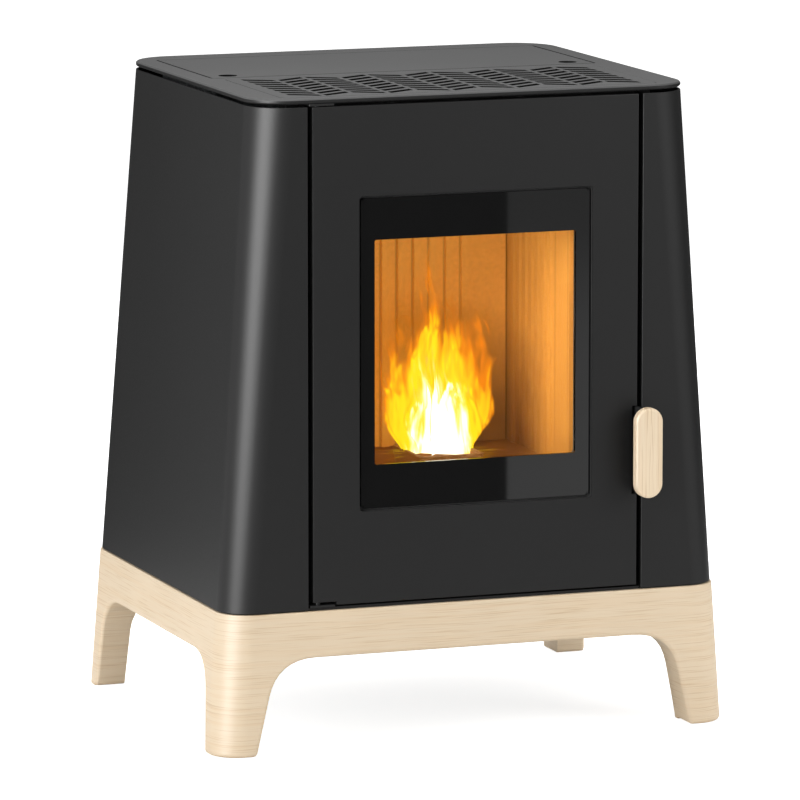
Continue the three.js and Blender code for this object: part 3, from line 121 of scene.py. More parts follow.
class StoveSizes(bpy.types.PropertyGroup):
    """The sizes of the details that the frame leaves open."""

    wood_edge: length("Wood edge", "Rounding along the legs and arches", 4.2)
    wood_top_edge: length("Wood top edge", "Rounding along the plinth's upper edge", 1)
    sheet_edge: length("Sheet edge", "Rounding along painted sheet steel", 0.7)
    cast_edge: length("Cast edge", "Rounding along cast iron edges", 1.2)
    fine_edge: length("Fine edge", "Rounding along small machined parts", 0.4)
    grip_edge: length("Grip edge", "Rounding round the wooden grip's face", 3.2)
    frit_side: length("Border at the sides", "Black border beside the window", 15.1)
    frit_top: length("Border above", "Black border above the window", 43.3)
    frit_bottom: length("Border below", "Black border below the window", 45.3)
    glass_corner: length("Glass corner", "Corner radius of the glass", 4)
    window_corner: length("Window corner", "Corner radius of the clear window", 2)
    flame_height: length("Flame height", "Height of the tallest flame", 205)
    pellet_radius: length("Pellet radius", "Radius of one wood pellet", 3)
    screw_radius: length("Screw radius", "Head radius of the back panel's screws", 4)


class StoveColours(bpy.types.PropertyGroup):
    """The colours of the stove's finishes."""

    paint: tint("Stove paint", "Matt paint on the sides and the door", "#1b1b1b")
    iron: tint("Cast iron", "Painted cast iron of the top", "#4b4b4b")
    heat_paint: tint("Heat paint", "Black heat paint on inner steel", "#151515")
    steel: tint("Steel", "Turned and ground bare steel", "#a9a8a4")
    zinc: tint("Zinc", "Galvanised sheet", "#a4a8ab")
    wood: tint("Wood", "Pale face of the birch", "#eed9bb")
    wood_line: tint("Wood grain", "Darker grain lines of the birch", "#cfae82")
    frit: tint("Glass border", "Black enamel fired on the glass", "#0f0f0f")
    liner: tint("Liner", "Vermiculite board round the fire", "#d99a48")
    firelight: tint("Firelight", "Glow of the fire on the liner", "#e09c32")
    flame_edge: tint("Flame edge", "Outer, coolest part of the flame", "#ff8c0c")
    flame_body: tint("Flame body", "Body of the flame", "#ffdf1c")


# ---- helpers ----


def fill_inputs(node, inputs):
    """Gives a node's inputs their values, or links them to sockets or to other nodes' live outputs."""
    for key, value in inputs.items():
        if isinstance(value, bpy.types.Node):
            value = next(output for output in value.outputs if output.enabled)
        if isinstance(value, bpy.types.NodeSocket):
            node.id_data.links.new(value, node.inputs[key])
        else:
            node.inputs[key].default_value = value


def add_node(tree, kind, inputs=None, **settings):
    """Adds one node of any kind with its settings and its inputs.

    The numbered inputs are 0 to 2 on Math, 1 to 4 on MapRange (from and to), and on Mix the factor 0
    and then 2 and 3 for numbers, 4 and 5 for vectors, 6 and 7 for colours."""
    node = tree.nodes.new("ShaderNode" + kind)
    for key, value in settings.items():
        setattr(node, key, value)
    fill_inputs(node, inputs or {})
    return node


def start_material(name):
    """Makes a material that holds one Principled shader, and gives it with the function that adds a
    node to it, its shader and its coordinates."""
    made = bpy.data.materials.new(name)
    made.use_nodes = True
    made.node_tree.nodes.clear()
    add = functools.partial(add_node, made.node_tree)
    shader = add("BsdfPrincipled")
    add("OutputMaterial", {"Surface": shader})
    return made, add, shader, add("TexCoord").outputs["Object"]


def mottle(add, coords, scale, dark, light, detail=2.0):
    """Adds a noise that mixes two colours, and gives the mixed colour."""
    noise = add("TexNoise", {"Vector": coords, "Scale": scale, "Detail": detail})
    return add("Mix", {0: noise, 6: dark, 7: light}, data_type="RGBA")


def colours():
    return bpy.context.scene.stove_colours


def sizes():
    return bpy.context.scene.stove_sizes


def rgba(colour, share=1.0):
    """A property's colour as four numbers, made darker or lighter by a share."""
    return tuple(min(1.0, c * share) for c in colour) + (1.0,)


def select_only(piece):
    bpy.ops.object.select_all(action="DESELECT")
    piece.select_set(True)
    bpy.context.view_layer.objects.active = piece


def pick(piece, parts, test):
    """Enters edit mode with only those vertices, edges or faces selected that pass a test."""
    select_only(piece)
    bpy.context.tool_settings.mesh_select_mode = tuple(
        parts == p for p in ("vertices", "edges", "polygons")
    )
    mesh = piece.data
    for kind in (mesh.vertices, mesh.edges, mesh.polygons):
        kind.foreach_set("select", [False] * len(kind))
    for part in getattr(mesh, parts):
        part.select = test(part)
    bpy.ops.object.mode_set(mode="EDIT")


def edge_line(piece, edge):
    """The vector from one end of an edge to the other, and its middle."""
    a, b = (piece.data.vertices[i].co for i in edge.vertices)
    return b - a, (a + b) / 2


def lies_along(line, axis):
    """True if a line runs along an axis, 0 for x, 1 for y and 2 for z."""
    return abs(line[axis]) > 0.99 * line.length


def leave_edit():
    bpy.ops.object.mode_set(mode="OBJECT")


def block(name, low, high):
    """Adds a box between two corners, as the start of a piece."""
    low, high = Vector(low), Vector(high)
    bpy.ops.mesh.primitive_cube_add(size=1, location=(low + high) / 2)
    made = bpy.context.object
    made.name = name
    made.scale = high - low
    bpy.ops.object.transform_apply()
    return made


def round_edges(piece, width, steps=2, angle=35):
    """Rounds a piece's sharp edges and shades the rest smooth."""
    select_only(piece)
    if width:
        bevel = piece.modifiers.new("edges", "BEVEL")
        bevel.width = width
        bevel.segments = steps
        bevel.limit_method = "ANGLE"
        bevel.angle_limit = math.radians(angle)
        bpy.ops.object.modifier_apply(modifier="edges")
    bpy.ops.object.shade_smooth_by_angle(angle=math.radians(angle))
    weighted = piece.modifiers.new("normals", "WEIGHTED_NORMAL")
    weighted.keep_sharp = True
    bpy.ops.object.modifier_apply(modifier="normals")


def put_on(piece, body, slot, material, *nodes):
    """Gives a finished piece its material and the body that it goes with, and hides the CAD nodes that
    it stands for; the slot is not used.
    """
    piece.data.materials.clear()
    piece.data.materials.append(material)
    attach(piece, body)
    if nodes:
        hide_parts(*nodes)
    return piece


def paint_faces(piece, material, test):
    """Gives the faces that pass a test a second material."""
    piece.data.materials.append(material)
    piece.active_material_index = len(piece.data.materials) - 1
    pick(piece, "polygons", test)
    bpy.ops.object.material_slot_assign()
    leave_edit()


def body_of(node):
    return frame["nodes"][node]["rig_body"]


def copy_of(node, whole=True):
    """Copies a CAD node and makes its flat faces whole, which faces full of holes don't bear."""
    select_only(frame["nodes"][node])
    bpy.ops.object.duplicate()
    piece = bpy.context.object
    piece.name = node + "_dressed"
    del piece["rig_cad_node"]
    bpy.ops.object.mode_set(mode="EDIT")
    bpy.ops.mesh.select_all(action="SELECT")
    bpy.ops.mesh.remove_doubles(threshold=0.01 * MM)
    if whole:
        bpy.ops.mesh.dissolve_limited(angle_limit=math.radians(0.4))
    leave_edit()
    return piece


def dress(nodes, slot, material, width, steps=2, angle=35):
    """Makes a rounded, smooth copy of each CAD node, which then stands for it."""
    made = []
    for node in nodes:
        piece = copy_of(node)
        round_edges(piece, width, steps, angle)
        put_on(piece, body_of(node), slot, material, node)
        made.append(piece)
    return made


# ---- materials ----


@functools.cache
def grained_coat(name, dark, light, grain, depth, roughness, specular, metallic=0.0):
    """A matt coat whose surface has a fine grain: the start of the paints, cast iron and rubber."""
    made, add, shader, coords = start_material(name)
    fine = add("TexNoise", {"Vector": coords, "Scale": 1 / (grain * MM), "Detail": 3.0})
    tone = mottle(add, coords, 7.0, dark, light)
    gloss = add("MapRange", {0: fine, 3: roughness - 0.06, 4: roughness + 0.06})
    bump = add("Bump", {"Height": fine, "Strength": 0.6, "Distance": depth * MM})
    fill_inputs(shader, {"Base Color": tone, "Roughness": gloss, "Specular IOR Level": specular})
    fill_inputs(shader, {"Metallic": metallic, "Normal": bump})
    return made


def stove_paint():
    # Heat-resistant paint sprayed on sheet steel: matt, near black, with a faint orange peel.
    paint = colours().paint
    return grained_coat("stove_paint", rgba(paint, 0.9), rgba(paint, 1.12), 1.6, 0.03, 0.42, 0.24)


def cast_iron():
    # Sand-cast iron under thin graphite paint: dull and half metallic, with the sand's fine grain.
    dark, light = rgba(colours().iron, 0.95), rgba(colours().iron, 1.05)
    return grained_coat("graphite_painted_iron", dark, light, 1.5, 0.04, 0.7, 0.5, 0.7)


def sooty_gap():
    # Painted shade on the walls of narrow gaps and slots: almost black, with no gloss.
    return grained_coat("sooty_gap", linear("#050505"), linear("#0a0a0a"), 1.5, 0.05, 0.9, 0.1)


def heat_paint():
    # Black heat paint, brushed on inner steel: flatter and darker than the outside.
    paint = colours().heat_paint
    return grained_coat("heat_paint", rgba(paint, 0.8), rgba(paint, 1.2), 1.2, 0.06, 0.6, 0.25)


def blackened_steel():
    # Oil-blackened steel pins: near black with a dull sheen.
    return grained_coat("blackened_steel", linear("#0f0f0f"), linear("#191919"), 1.2, 0.02, 0.4, 0.4)


def fire_scaled_steel():
    # Steel that has stood in the fire: its paint burnt to brown and grey scale, made light tan by
    # painted firelight.
    return grained_coat("fire_scaled_steel", linear("#a87436"), linear("#c99248"), 2.5, 0.1, 0.75, 0.2)


def silicone():
    # Moulded silicone rubber: soft dark grey, with no gloss.
    return grained_coat("silicone_rubber", linear("#161616"), linear("#1e1e1e"), 1.2, 0.04, 0.7, 0.3)


def moulded_plastic():
    # Glass-filled polyamide from a spark-eroded mould: black with a fine even texture.
    dark, light = linear("#121212"), linear("#191919")
    return grained_coat("moulded_polyamide", dark, light, 1.2, 0.08, 0.45, 0.45)


@functools.cache
def turned_steel():
    """Bare turned steel: bright grey, its shine broken by fine tool marks."""
    made, add, shader, coords = start_material("turned_steel")
    marks = add("TexNoise", {"Vector": coords, "Scale": 900.0, "Detail": 2.0})
    steel = colours().steel
    tone = mottle(add, coords, 30.0, rgba(steel, 0.75), rgba(steel, 1.1), 3.0)
    gloss = add("MapRange", {0: marks, 3: 0.26, 4: 0.42})
    bump = add("Bump", {"Height": marks, "Strength": 0.4, "Distance": 0.03 * MM})
    fill_inputs(shader, {"Base Color": tone, "Metallic": 1.0, "Roughness": gloss, "Normal": bump})
    return made


@functools.cache
def galvanised_steel():
    """Hot-dip galvanised sheet: cool grey spangle cells about 9 mm across, each with its own gloss."""
    made, add, shader, coords = start_material("galvanised_steel")
    bent = add("TexNoise", {"Vector": coords, "Scale": 90.0, "Detail": 2.0})
    shifted = add("Mix", {0: 0.012, 4: coords, 5: bent.outputs["Color"]}, data_type="VECTOR")
    spangle = add("TexVoronoi", {"Vector": shifted, "Scale": 110.0})
    cell = add("SeparateColor", {0: spangle.outputs["Color"]})
    zinc = colours().zinc
    tone = add("Mix", {0: cell.outputs[0], 6: rgba(zinc, 0.8), 7: rgba(zinc, 1.12)}, data_type="RGBA")
    gloss = add("MapRange", {0: cell.outputs[1], 3: 0.32, 4: 0.52})
    fill_inputs(shader, {"Base Color": tone, "Metallic": 1.0, "Roughness": gloss})
    return made


@functools.cache
def birch(name, lines, waviness, tone):
    """Oiled birch: a pale face with thin darker grain lines that lie across the axes named by lines."""
    made, add, shader, coords = start_material(name)
    drift = add("TexNoise", {"Vector": coords, "Scale": 9.0, "Detail": 2.0})
    bent = add("Mix", {0: waviness, 4: coords, 5: drift.outputs["Color"]}, data_type="VECTOR")
    # Growth layers about 4 mm apart and 200 mm long; pores about 1 mm wide and 70 mm long,
    # drawn coarse so that they show.
    layers = add("Mapping", {"Vector": bent, "Scale": [260 if on else 5 for on in lines]})
    pores = add("Mapping", {"Vector": bent, "Scale": [1100 if on else 14 for on in lines]})
    layer = add("TexNoise", {"Vector": layers, "Scale": 1.0, "Detail": 3.0})
    pore = add("TexNoise", {"Vector": pores, "Scale": 1.0, "Detail": 2.0})
    face = mottle(add, coords, 12.0, rgba(colours().wood, tone), rgba(colours().wood, 0.92 * tone))
    layer_line = add("MapRange", {0: layer, 1: 0.45, 2: 0.75, 4: 0.3})
    layered = add("Mix", {0: layer_line, 6: face, 7: rgba(colours().wood_line, 1.2)}, data_type="RGBA")
    pore_line = add("MapRange", {0: pore, 1: 0.56, 2: 0.66, 4: 0.6})
    grain = add("Mix", {0: pore_line, 6: layered, 7: rgba(colours().wood_line)}, data_type="RGBA")
    bump = add("Bump", {"Height": pore, "Strength": 0.3, "Distance": 0.08 * MM}, invert=True)
    fill_inputs(shader, {"Base Color": grain, "Roughness": 0.42, "Normal": bump})
    return made


def plinth_wood():
    # Bent birch strips: the lines run level round the plinth and its corners.
    return birch("plinth_birch", (False, False, True), 0.004, 1.0)


def grip_wood():
    # Milled from one stick of birch: the lines run up and down.
    return birch("grip_birch", (True, False, False), 0.003, 1.08)


@functools.cache
def clear_glass():
    """Ceramic glass: clear, faintly warm, with a coating that takes off its glare."""
    made, add, shader, coords = start_material("ceramic_glass")
    haze = add("TexNoise", {"Vector": coords, "Scale": 14.0, "Detail": 2.0})
    gloss = add("MapRange", {0: haze, 1: 0.5, 2: 0.8, 4: 0.02})
    fill_inputs(shader, {"Base Color": linear("#fdf9f2"), "Roughness": gloss})
    fill_inputs(shader, {"IOR": 1.12, "Transmission Weight": 1.0})
    return made


@functools.cache
def frit_enamel():
    """Black enamel fired behind the glass: a deep black under the glass's own polish."""
    made, add, shader, coords = start_material("fired_enamel")
    tone = mottle(add, coords, 30.0, rgba(colours().frit, 0.9), rgba(colours().frit, 1.1))
    fill_inputs(shader, {"Base Color": tone, "Roughness": 0.03, "IOR": 1.5})
    return made


@functools.cache
def vermiculite():
    """Pressed vermiculite board: sandy and flecked, glowing faintly with painted firelight, with
    painted shade along its ribs, low on its sides and in the corner behind on the right.
    """
    made, add, shader, coords = start_material("vermiculite_board")
    flakes = add("TexVoronoi", {"Vector": coords, "Scale": 420.0})
    fleck = add("SeparateColor", {0: flakes.outputs["Color"]})
    dark, light = rgba(colours().liner, 0.92), rgba(colours().liner, 1.08)
    board = add("Mix", {0: fleck.outputs[0], 6: dark, 7: light}, data_type="RGBA")
    place = add("SeparateXYZ", {0: coords})
    x, y, z = place.outputs
    # Painted shade lies in thin dark lines along the ribs, where their grooves fall in shade: those of
    # the back board as far as its last rib, and those of the side boards, which stand twice as far
    # apart.
    back_rib, side_rib, last_rib, side_board = 18 * MM, 36 * MM, 70.5 * MM, 109.9 * MM
    out = add("Math", {0: x}, operation="ABSOLUTE")
    beside = add("Math", {0: out, 1: side_board}, operation="GREATER_THAN")
    plain = add("MapRange", {0: out, 1: last_rib, 2: last_rib + 0.5 * MM, 3: 1.0, 4: 0.0})
    marked = add("Math", {0: plain, 1: beside}, operation="MAXIMUM")
    across = add("Math", {0: x, 1: 1 / back_rib, 2: 0.3}, operation="MULTIPLY_ADD")
    inward = add("Math", {0: y, 1: 1 / side_rib, 2: 0.85}, operation="MULTIPLY_ADD")
    ribs = add("Mix", {0: beside, 2: across, 3: inward}, data_type="FLOAT")
    within = add("Math", {0: ribs}, operation="FRACT")
    edge = add("Math", {0: within, 1: 0.5}, operation="SUBTRACT")
    away = add("Math", {0: edge}, operation="ABSOLUTE")
    line = add("MapRange", {0: away, 1: 0.02, 2: 0.07, 3: 0.42, 4: 0.0})
    rib_shade = add("Math", {0: line, 1: marked}, operation="MULTIPLY")
    ribbed = add("Mix", {0: rib_shade, 6: board, 7: linear("#5e3a18")}, data_type="RGBA")
    # Painted shade darkens the corner behind on the right, most of all low down, in patches.
    low = add("MapRange", {0: z, 1: 0.30, 2: 0.41, 3: 1.0, 4: 0.0})
    right = add("MapRange", {0: x, 1: 0.035, 2: 0.08})
    behind = add("MapRange", {0: y, 1: -0.15, 2: -0.09})
    corner = add("Math", {0: right, 1: behind}, operation="MULTIPLY")
    drift = add("TexNoise", {"Vector": coords, "Scale": 16.0, "Detail": 2.0})
    patches = add("MapRange", {0: drift, 1: 0.3, 2: 0.7, 3: 0.6, 4: 1.0})
    low_corner = add("Math", {0: corner, 1: low}, operation="MULTIPLY")
    corner_shade = add("Math", {0: low_corner, 1: patches}, operation="MULTIPLY")
    tone = add("Mix", {0: corner_shade, 6: ribbed, 7: linear("#5e3a18")}, data_type="RGBA")
    # Painted shade: the side boards are darker and browner, most of all low down.
    climb = add("MapRange", {0: z, 1: 0.30, 2: 0.50, 3: 0.75, 4: 0.45})
    side_shade = add("Math", {0: climb, 1: beside}, operation="MULTIPLY")
    board_tone = add("Mix", {0: side_shade, 6: tone, 7: linear("#8a5a1e")}, data_type="RGBA")
    # The board glows faintly with painted firelight, which fades to painted shade in the dark corner.
    glow = add("Mix", {0: corner_shade, 6: rgba(colours().firelight), 7: linear("#4a2a0c")}, data_type="RGBA")
    bump = add("Bump", {"Height": fleck.outputs[1], "Strength": 0.3, "Distance": 0.1 * MM})
    fill_inputs(shader, {"Base Color": board_tone, "Roughness": 0.85, "Specular IOR Level": 0.2})
    fill_inputs(shader, {"Emission Color": glow, "Emission Strength": 0.2, "Normal": bump})
    return made


@functools.cache
def hot_iron():
    """Cast iron of the burn pot: brown scale outside, and inside an amber glow of painted firelight
    from the fire above it.
    """
    made, add, shader, coords = start_material("hot_cast_iron")
    place = add("SeparateXYZ", {0: coords})
    scale = add("TexNoise", {"Vector": coords, "Scale": 160.0, "Detail": 4.0})
    tone = add("Mix", {0: scale, 6: linear("#4a3018"), 7: linear("#8a5f30")}, data_type="RGBA")
    # Painted firelight: the iron glows amber, brighter higher up.
    heat = add("MapRange", {0: place.outputs[2], 1: 0.245, 2: 0.29, 3: 0.3, 4: 1.0})
    glow = add("Mix", {0: heat, 6: linear("#3a1e08"), 7: linear("#a06420")}, data_type="RGBA")
    bump = add("Bump", {"Height": scale, "Strength": 0.5, "Distance": 0.15 * MM})
    fill_inputs(shader, {"Base Color": tone, "Roughness": 0.7, "Normal": bump})
    fill_inputs(shader, {"Emission Color": glow, "Emission Strength": 0.35})
    return made


@functools.cache
def ember():
    """Burning wood pellets: grey ash over a glow that shows in the cracks."""
    made, add, shader, coords = start_material("glowing_pellets")
    cracks = add("TexNoise", {"Vector": coords, "Scale": 300.0, "Detail": 3.0})
    heat = add("MapRange", {0: cracks, 1: 0.4, 2: 0.62})
    ash = add("Mix", {0: heat, 6: linear("#6b5a4a"), 7: linear("#d06a1c")}, data_type="RGBA")
    glow = add("Mix", {0: heat, 6: linear("#c23a08"), 7: linear("#ffd070")}, data_type="RGBA")
    fill_inputs(shader, {"Base Color": ash, "Roughness": 0.9})
    fill_inputs(shader, {"Emission Color": glow, "Emission Strength": 2.2})
    return made


@functools.cache
def flame_gas():
    """Burning gas: white at its foot, yellow through its body, and orange where its edges thin out."""
    made, add, shader, coords = start_material("flame_gas")
    uv = add("UVMap", uv_map="UVMap").outputs[0]
    across_up = add("SeparateXYZ", {0: uv})
    across, up = across_up.outputs[0], across_up.outputs[1]
    # Tongues about 16 mm wide, bent by a drift of the gas that grows towards the tips.
    drift = add("TexNoise", {"Vector": coords, "Scale": 20.0, "Detail": 1.0})
    sway = add("MapRange", {0: up, 3: 0.004, 4: 0.034})
    bent = add("Mix", {0: sway, 4: coords, 5: drift.outputs["Color"]}, data_type="VECTOR")
    tall = add("Mapping", {"Vector": bent, "Scale": (62, 62, 5)})
    thin = add("Mapping", {"Vector": bent, "Scale": (190, 190, 16)})
    tongue = add("TexNoise", {"Vector": tall, "Scale": 1.0, "Detail": 1.0})
    streak = add("TexNoise", {"Vector": thin, "Scale": 1.0, "Detail": 2.0})
    # Each tongue comes to a crest, and the whole is widest at a third of its height.
    crest = add("Math", {0: tongue, 1: 0.5}, operation="SUBTRACT")
    valley = add("Math", {0: crest}, operation="ABSOLUTE")
    reach = add("MapRange", {0: valley, 2: 0.16, 3: 1.0, 4: 0.66})
    foot = add("MapRange", {0: up, 2: 0.34, 3: 0.5, 4: 1.0}, interpolation_type="SMOOTHSTEP")
    middle = add("Math", {0: across, 1: 2.0, 2: -1.0}, operation="MULTIPLY_ADD")
    offset = add("Math", {0: middle, 1: foot}, operation="DIVIDE")
    side = add("Math", {0: offset, 1: offset}, operation="MULTIPLY")
    thick = add("Math", {0: side, 1: -1.0, 2: 1.0}, operation="MULTIPLY_ADD", use_clamp=True)
    height = add("Math", {0: thick, 1: reach}, operation="MULTIPLY")
    least = add("Math", {0: height, 1: 0.001}, operation="MAXIMUM")
    climbed = add("Math", {0: up, 1: least}, operation="DIVIDE")
    grain = add("MapRange", {0: streak, 1: 0.3, 2: 0.7, 3: 1.0, 4: 1.25})
    heat = add("Math", {0: grain, 1: climbed}, operation="SUBTRACT", use_clamp=True)
    # The heat falls off from the fire's heart to its outline, about 67 mm to each side and
    # 167 mm up: white, then yellow, then orange.
    heart = add("VectorMath", {0: bent, 1: FIRE_HEART}, operation="SUBTRACT")
    spread = add("VectorMath", {0: heart, 1: (15.0, 9.0, 6.0)}, operation="MULTIPLY")
    far = add("VectorMath", {0: spread}, operation="LENGTH")
    flicker = add("MapRange", {0: streak, 1: 0.3, 2: 0.7, 3: 0.1, 4: -0.1})
    mixed = add("Math", {0: far, 1: flicker}, operation="ADD")
    parted = add("Math", {0: valley, 1: 0.9, 2: mixed}, operation="MULTIPLY_ADD")
    fade = add("MapRange", {0: heat, 1: 0.05, 2: 0.45, 3: 0.55, 4: 0.0})
    cool = add("Math", {0: parted, 1: fade}, operation="ADD")
    warm = add("MapRange", {0: cool, 1: 1.15, 2: 0.66})
    white = add("MapRange", {0: cool, 1: 0.58, 2: 0.3}, interpolation_type="SMOOTHSTEP")
    orange, yellow = rgba(colours().flame_edge), rgba(colours().flame_body)
    body = add("Mix", {0: warm, 6: orange, 7: yellow}, data_type="RGBA")
    glow = add("Mix", {0: white, 6: body, 7: linear("#fffbe4")}, data_type="RGBA")
    strength = add("MapRange", {0: white, 3: 1.15, 4: 2.2})
    cover = add("MapRange", {0: heat, 2: 0.5, 4: 0.95}, interpolation_type="SMOOTHSTEP")
    fill_inputs(shader, {"Base Color": linear("#000000"), "Alpha": cover, **DULL})
    fill_inputs(shader, {"Emission Color": glow, "Emission Strength": strength})
    return made


@functools.cache
def glass_rope():
    """Braided glass-fibre rope: dark grey strands that cross about every 4.5 mm."""
    made, add, shader, coords = start_material("glass_fibre_rope")
    turned = add("Mapping", {"Vector": coords, "Scale": (-1, 1, 1)})
    strands = {"Scale": 80.0, "Distortion": 1.0}
    one = add("TexWave", {"Vector": coords, **strands}, bands_direction="DIAGONAL")
    other = add("TexWave", {"Vector": turned, **strands}, bands_direction="DIAGONAL")
    braid = add("Math", {0: one.outputs[1], 1: other.outputs[1]}, operation="MAXIMUM")
    tone = add("Mix", {0: braid, 6: linear("#1c1b1a"), 7: linear("#4b4845")}, data_type="RGBA")
    bump = add("Bump", {"Height": braid, "Strength": 0.8, "Distance": 0.6 * MM})
    fill_inputs(shader, {"Base Color": tone, "Roughness": 0.9, "Normal": bump})
    return made


@functools.cache
def board_laminate():
    """Glass-epoxy circuit board: green solder mask with paler copper tracks about 4 mm apart."""
    made, add, shader, coords = start_material("circuit_laminate")
    turned = add("Mapping", {"Vector": coords, "Rotation": (0, math.pi / 2, 0)})
    tracks = add("TexBrick", {"Vector": turned, "Scale": 60.0, "Mortar Size": 0.04})
    mask, other_mask, copper = linear("#0f4d2a"), linear("#12592f"), linear("#2c8050")
    fill_inputs(tracks, {"Color1": mask, "Color2": other_mask, "Mortar": copper})
    fill_inputs(shader, {"Base Color": tracks, "Roughness": 0.35})
    return made


@functools.cache
def studio_floor():
    """Pale floor: plain to the light and to gloss, and white to the camera, with the shadow kept."""
    made, add, shader, coords = start_material("studio_floor")
    tone = mottle(add, coords, 3.0, linear("#f2f2f2"), linear("#f6f6f6"))
    rays = add("LightPath").outputs
    seen = add("Math", {0: rays["Is Camera Ray"], 1: rays["Is Transmission Ray"]}, operation="MAXIMUM")
    lift = add("Math", {0: seen, 1: FLOOR_GLOW}, operation="MULTIPLY")
    fill_inputs(shader, {"Base Color": tone, **DULL})
    fill_inputs(shader, {"Emission Color": linear("#ffffff"), "Emission Strength": lift})
    return made


@functools.cache
def flag_cloth():
    """Dark studio cloth, dimly lit: it takes the glare off one side of the glass and off the paint."""
    made, add, shader, coords = start_material("black_cloth")
    tone = mottle(add, coords, 400.0, linear("#030303"), linear("#070707"))
    fill_inputs(shader, {"Base Color": tone, **DULL})
    fill_inputs(shader, {"Emission Color": linear("#ffffff"), "Emission Strength": 0.1})
    return made


# ---- pieces ----


class STOVE_OT_plinth(bpy.types.Operator):
    """Rounds the four plinth boards and shows the straps that hold their corners"""

    bl_idname = "stove.plinth"
    bl_label = "Plinth"

    @staticmethod
    def outer_edges(board):
        """Sharp edges of the board's outer face, away from the seams, each with its two ends."""
        seams = [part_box("base_left")[side].y for side in (0, 1)]
        normals = {}
        for face in board.data.polygons:
            for key in face.edge_keys:
                normals.setdefault(key, []).append((face.normal, face.center))
        for edge in board.data.edges:
            ends = [board.data.vertices[i].co for i in edge.vertices]
            (one, one_place), (other, other_place) = normals[edge.key]
            at_seam = any(all(abs(v.y - seam) < TOUCH for v in ends) for seam in seams)
            sides = ((one, one_place), (other, other_place))
            outward = any(normal.xy.dot(place.xy.normalized()) > 0.3 for normal, place in sides)
            foot = all(v.z < TOUCH for v in ends) and (ends[0] - ends[1]).length > 20 * MM
            if one.dot(other) < 0.8 and not at_seam and (outward or foot):
                yield edge.key, ends

    def low_edges(self, board):
        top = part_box("base_front")[1].z - TOUCH
        return {key for key, ends in self.outer_edges(board) if ends[0].z < top or ends[1].z < top}

    def top_edges(self, board):
        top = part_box("base_front")[1].z - TOUCH
        return {key for key, ends in self.outer_edges(board) if ends[0].z > top and ends[1].z > top}

    def execute(self, context):
        for node in ("base_front", "base_back", "base_left", "base_right"):
            board = copy_of(node)
            low_edge = sizes().wood_top_edge if node == "base_back" else sizes().wood_edge
            for width, chosen in ((low_edge, self.low_edges), (sizes().wood_top_edge, self.top_edges)):
                picked = chosen(board)
                pick(board, "edges", lambda edge: edge.key in picked)
                bpy.ops.mesh.bevel(offset=width, segments=4, affect="EDGES", clamp_overlap=False)
                leave_edit()
            round_edges(board, 0)
            put_on(board, body_of(node), "wood", plinth_wood(), node)
        straps = [n for n in frame["nodes"] if n.startswith("corner_strap_")]
        dress(straps, "zinc_steel", galvanised_steel(), 0)
        return {"FINISHED"}


class STOVE_OT_casing(bpy.types.Operator):
    """Finishes the side and back panels, the floor plate, the front frame and the hinge plates"""

    bl_idname = "stove.casing"
    bl_label = "Casing"

    def execute(self, context):
        panels = ["side_panel_left", "side_panel_right", "back_panel"]
        dress(panels, "painted_steel", stove_paint(), sizes().sheet_edge)
        inner = ["floor_plate", "front_frame", "hinge_plate_lower", "hinge_plate_upper"]
        dress(inner, "dark_steel", heat_paint(), sizes().fine_edge)
        return {"FINISHED"}


class STOVE_OT_back_screws(bpy.types.Operator):
    """Puts pan-head screws with a round recess along both sides of the back panel"""

    bl_idname = "stove.back_screws"
    bl_label = "Back screws"

    def execute(self, context):
        low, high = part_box("back_panel")
        radius, tall, socket, inset, rows = sizes().screw_radius, 1.8 * MM, 1 * MM, 9 * MM, 5
        place, rotation = (0, high.y + tall / 2, 0), (math.pi / 2, 0, 0)
        bpy.ops.mesh.primitive_cylinder_add(
            vertices=24, radius=radius, depth=tall, rotation=rotation, location=place
        )
        first = bpy.context.object
        bpy.ops.object.transform_apply()
        pick(first, "polygons", lambda face: face.normal.y > 0.9)
        bpy.ops.mesh.inset(thickness=radius * 0.52)
        bpy.ops.mesh.extrude_region_move(TRANSFORM_OT_translate={"value": (0, -socket, 0)})
        leave_edit()
        round_edges(first, 0.5 * MM, 2)
        corners = []
        for level in (low.z, high.z):
            panel = frame["nodes"]["back_panel"].data
            ends = [v.co for v in panel.vertices if abs(v.co.z - level) < MM]
            corners.append(Vector([max(v[axis] for v in ends) for axis in range(3)]))
        places = []
        for row in range(rows):
            x, y, z = corners[0].lerp(corners[1], (row + 0.15) / (rows - 0.7))
            places += [(side * (x - inset), y - high.y, z) for side in (-1, 1)]
        for number, place in enumerate(places, 1):
            screw = first
            if number < len(places):
                select_only(first)
                bpy.ops.object.duplicate()
                screw = bpy.context.object
            screw.name = f"back_screw_{number}"
            select_only(screw)
            screw.location = place
            bpy.ops.object.transform_apply()
            put_on(screw, "stove_body", "bare_steel", turned_steel())
        return {"FINISHED"}


class STOVE_OT_door(bpy.types.Operator):
    """Finishes the door's front panel, its cast inner frame, its ropes and its pins"""

    bl_idname = "stove.door"
    bl_label = "Door"

    def execute(self, context):
        dress(["door_panel"], "painted_steel", stove_paint(), sizes().sheet_edge, 3)
        dress(["door_inner_frame"], "cast_iron", cast_iron(), sizes().cast_edge)
        dress(["glass_gasket", "door_gasket"], "gasket_rope", glass_rope(), 0)
        dress(["handle_bracket"], "dark_steel", heat_paint(), sizes().fine_edge)
        dress(["handle_pin"], "bare_steel", turned_steel(), sizes().fine_edge)
        pins = ["hinge_pin_lower", "hinge_pin_upper"]
        dress(pins, "bare_steel", blackened_steel(), sizes().fine_edge)
        return {"FINISHED"}


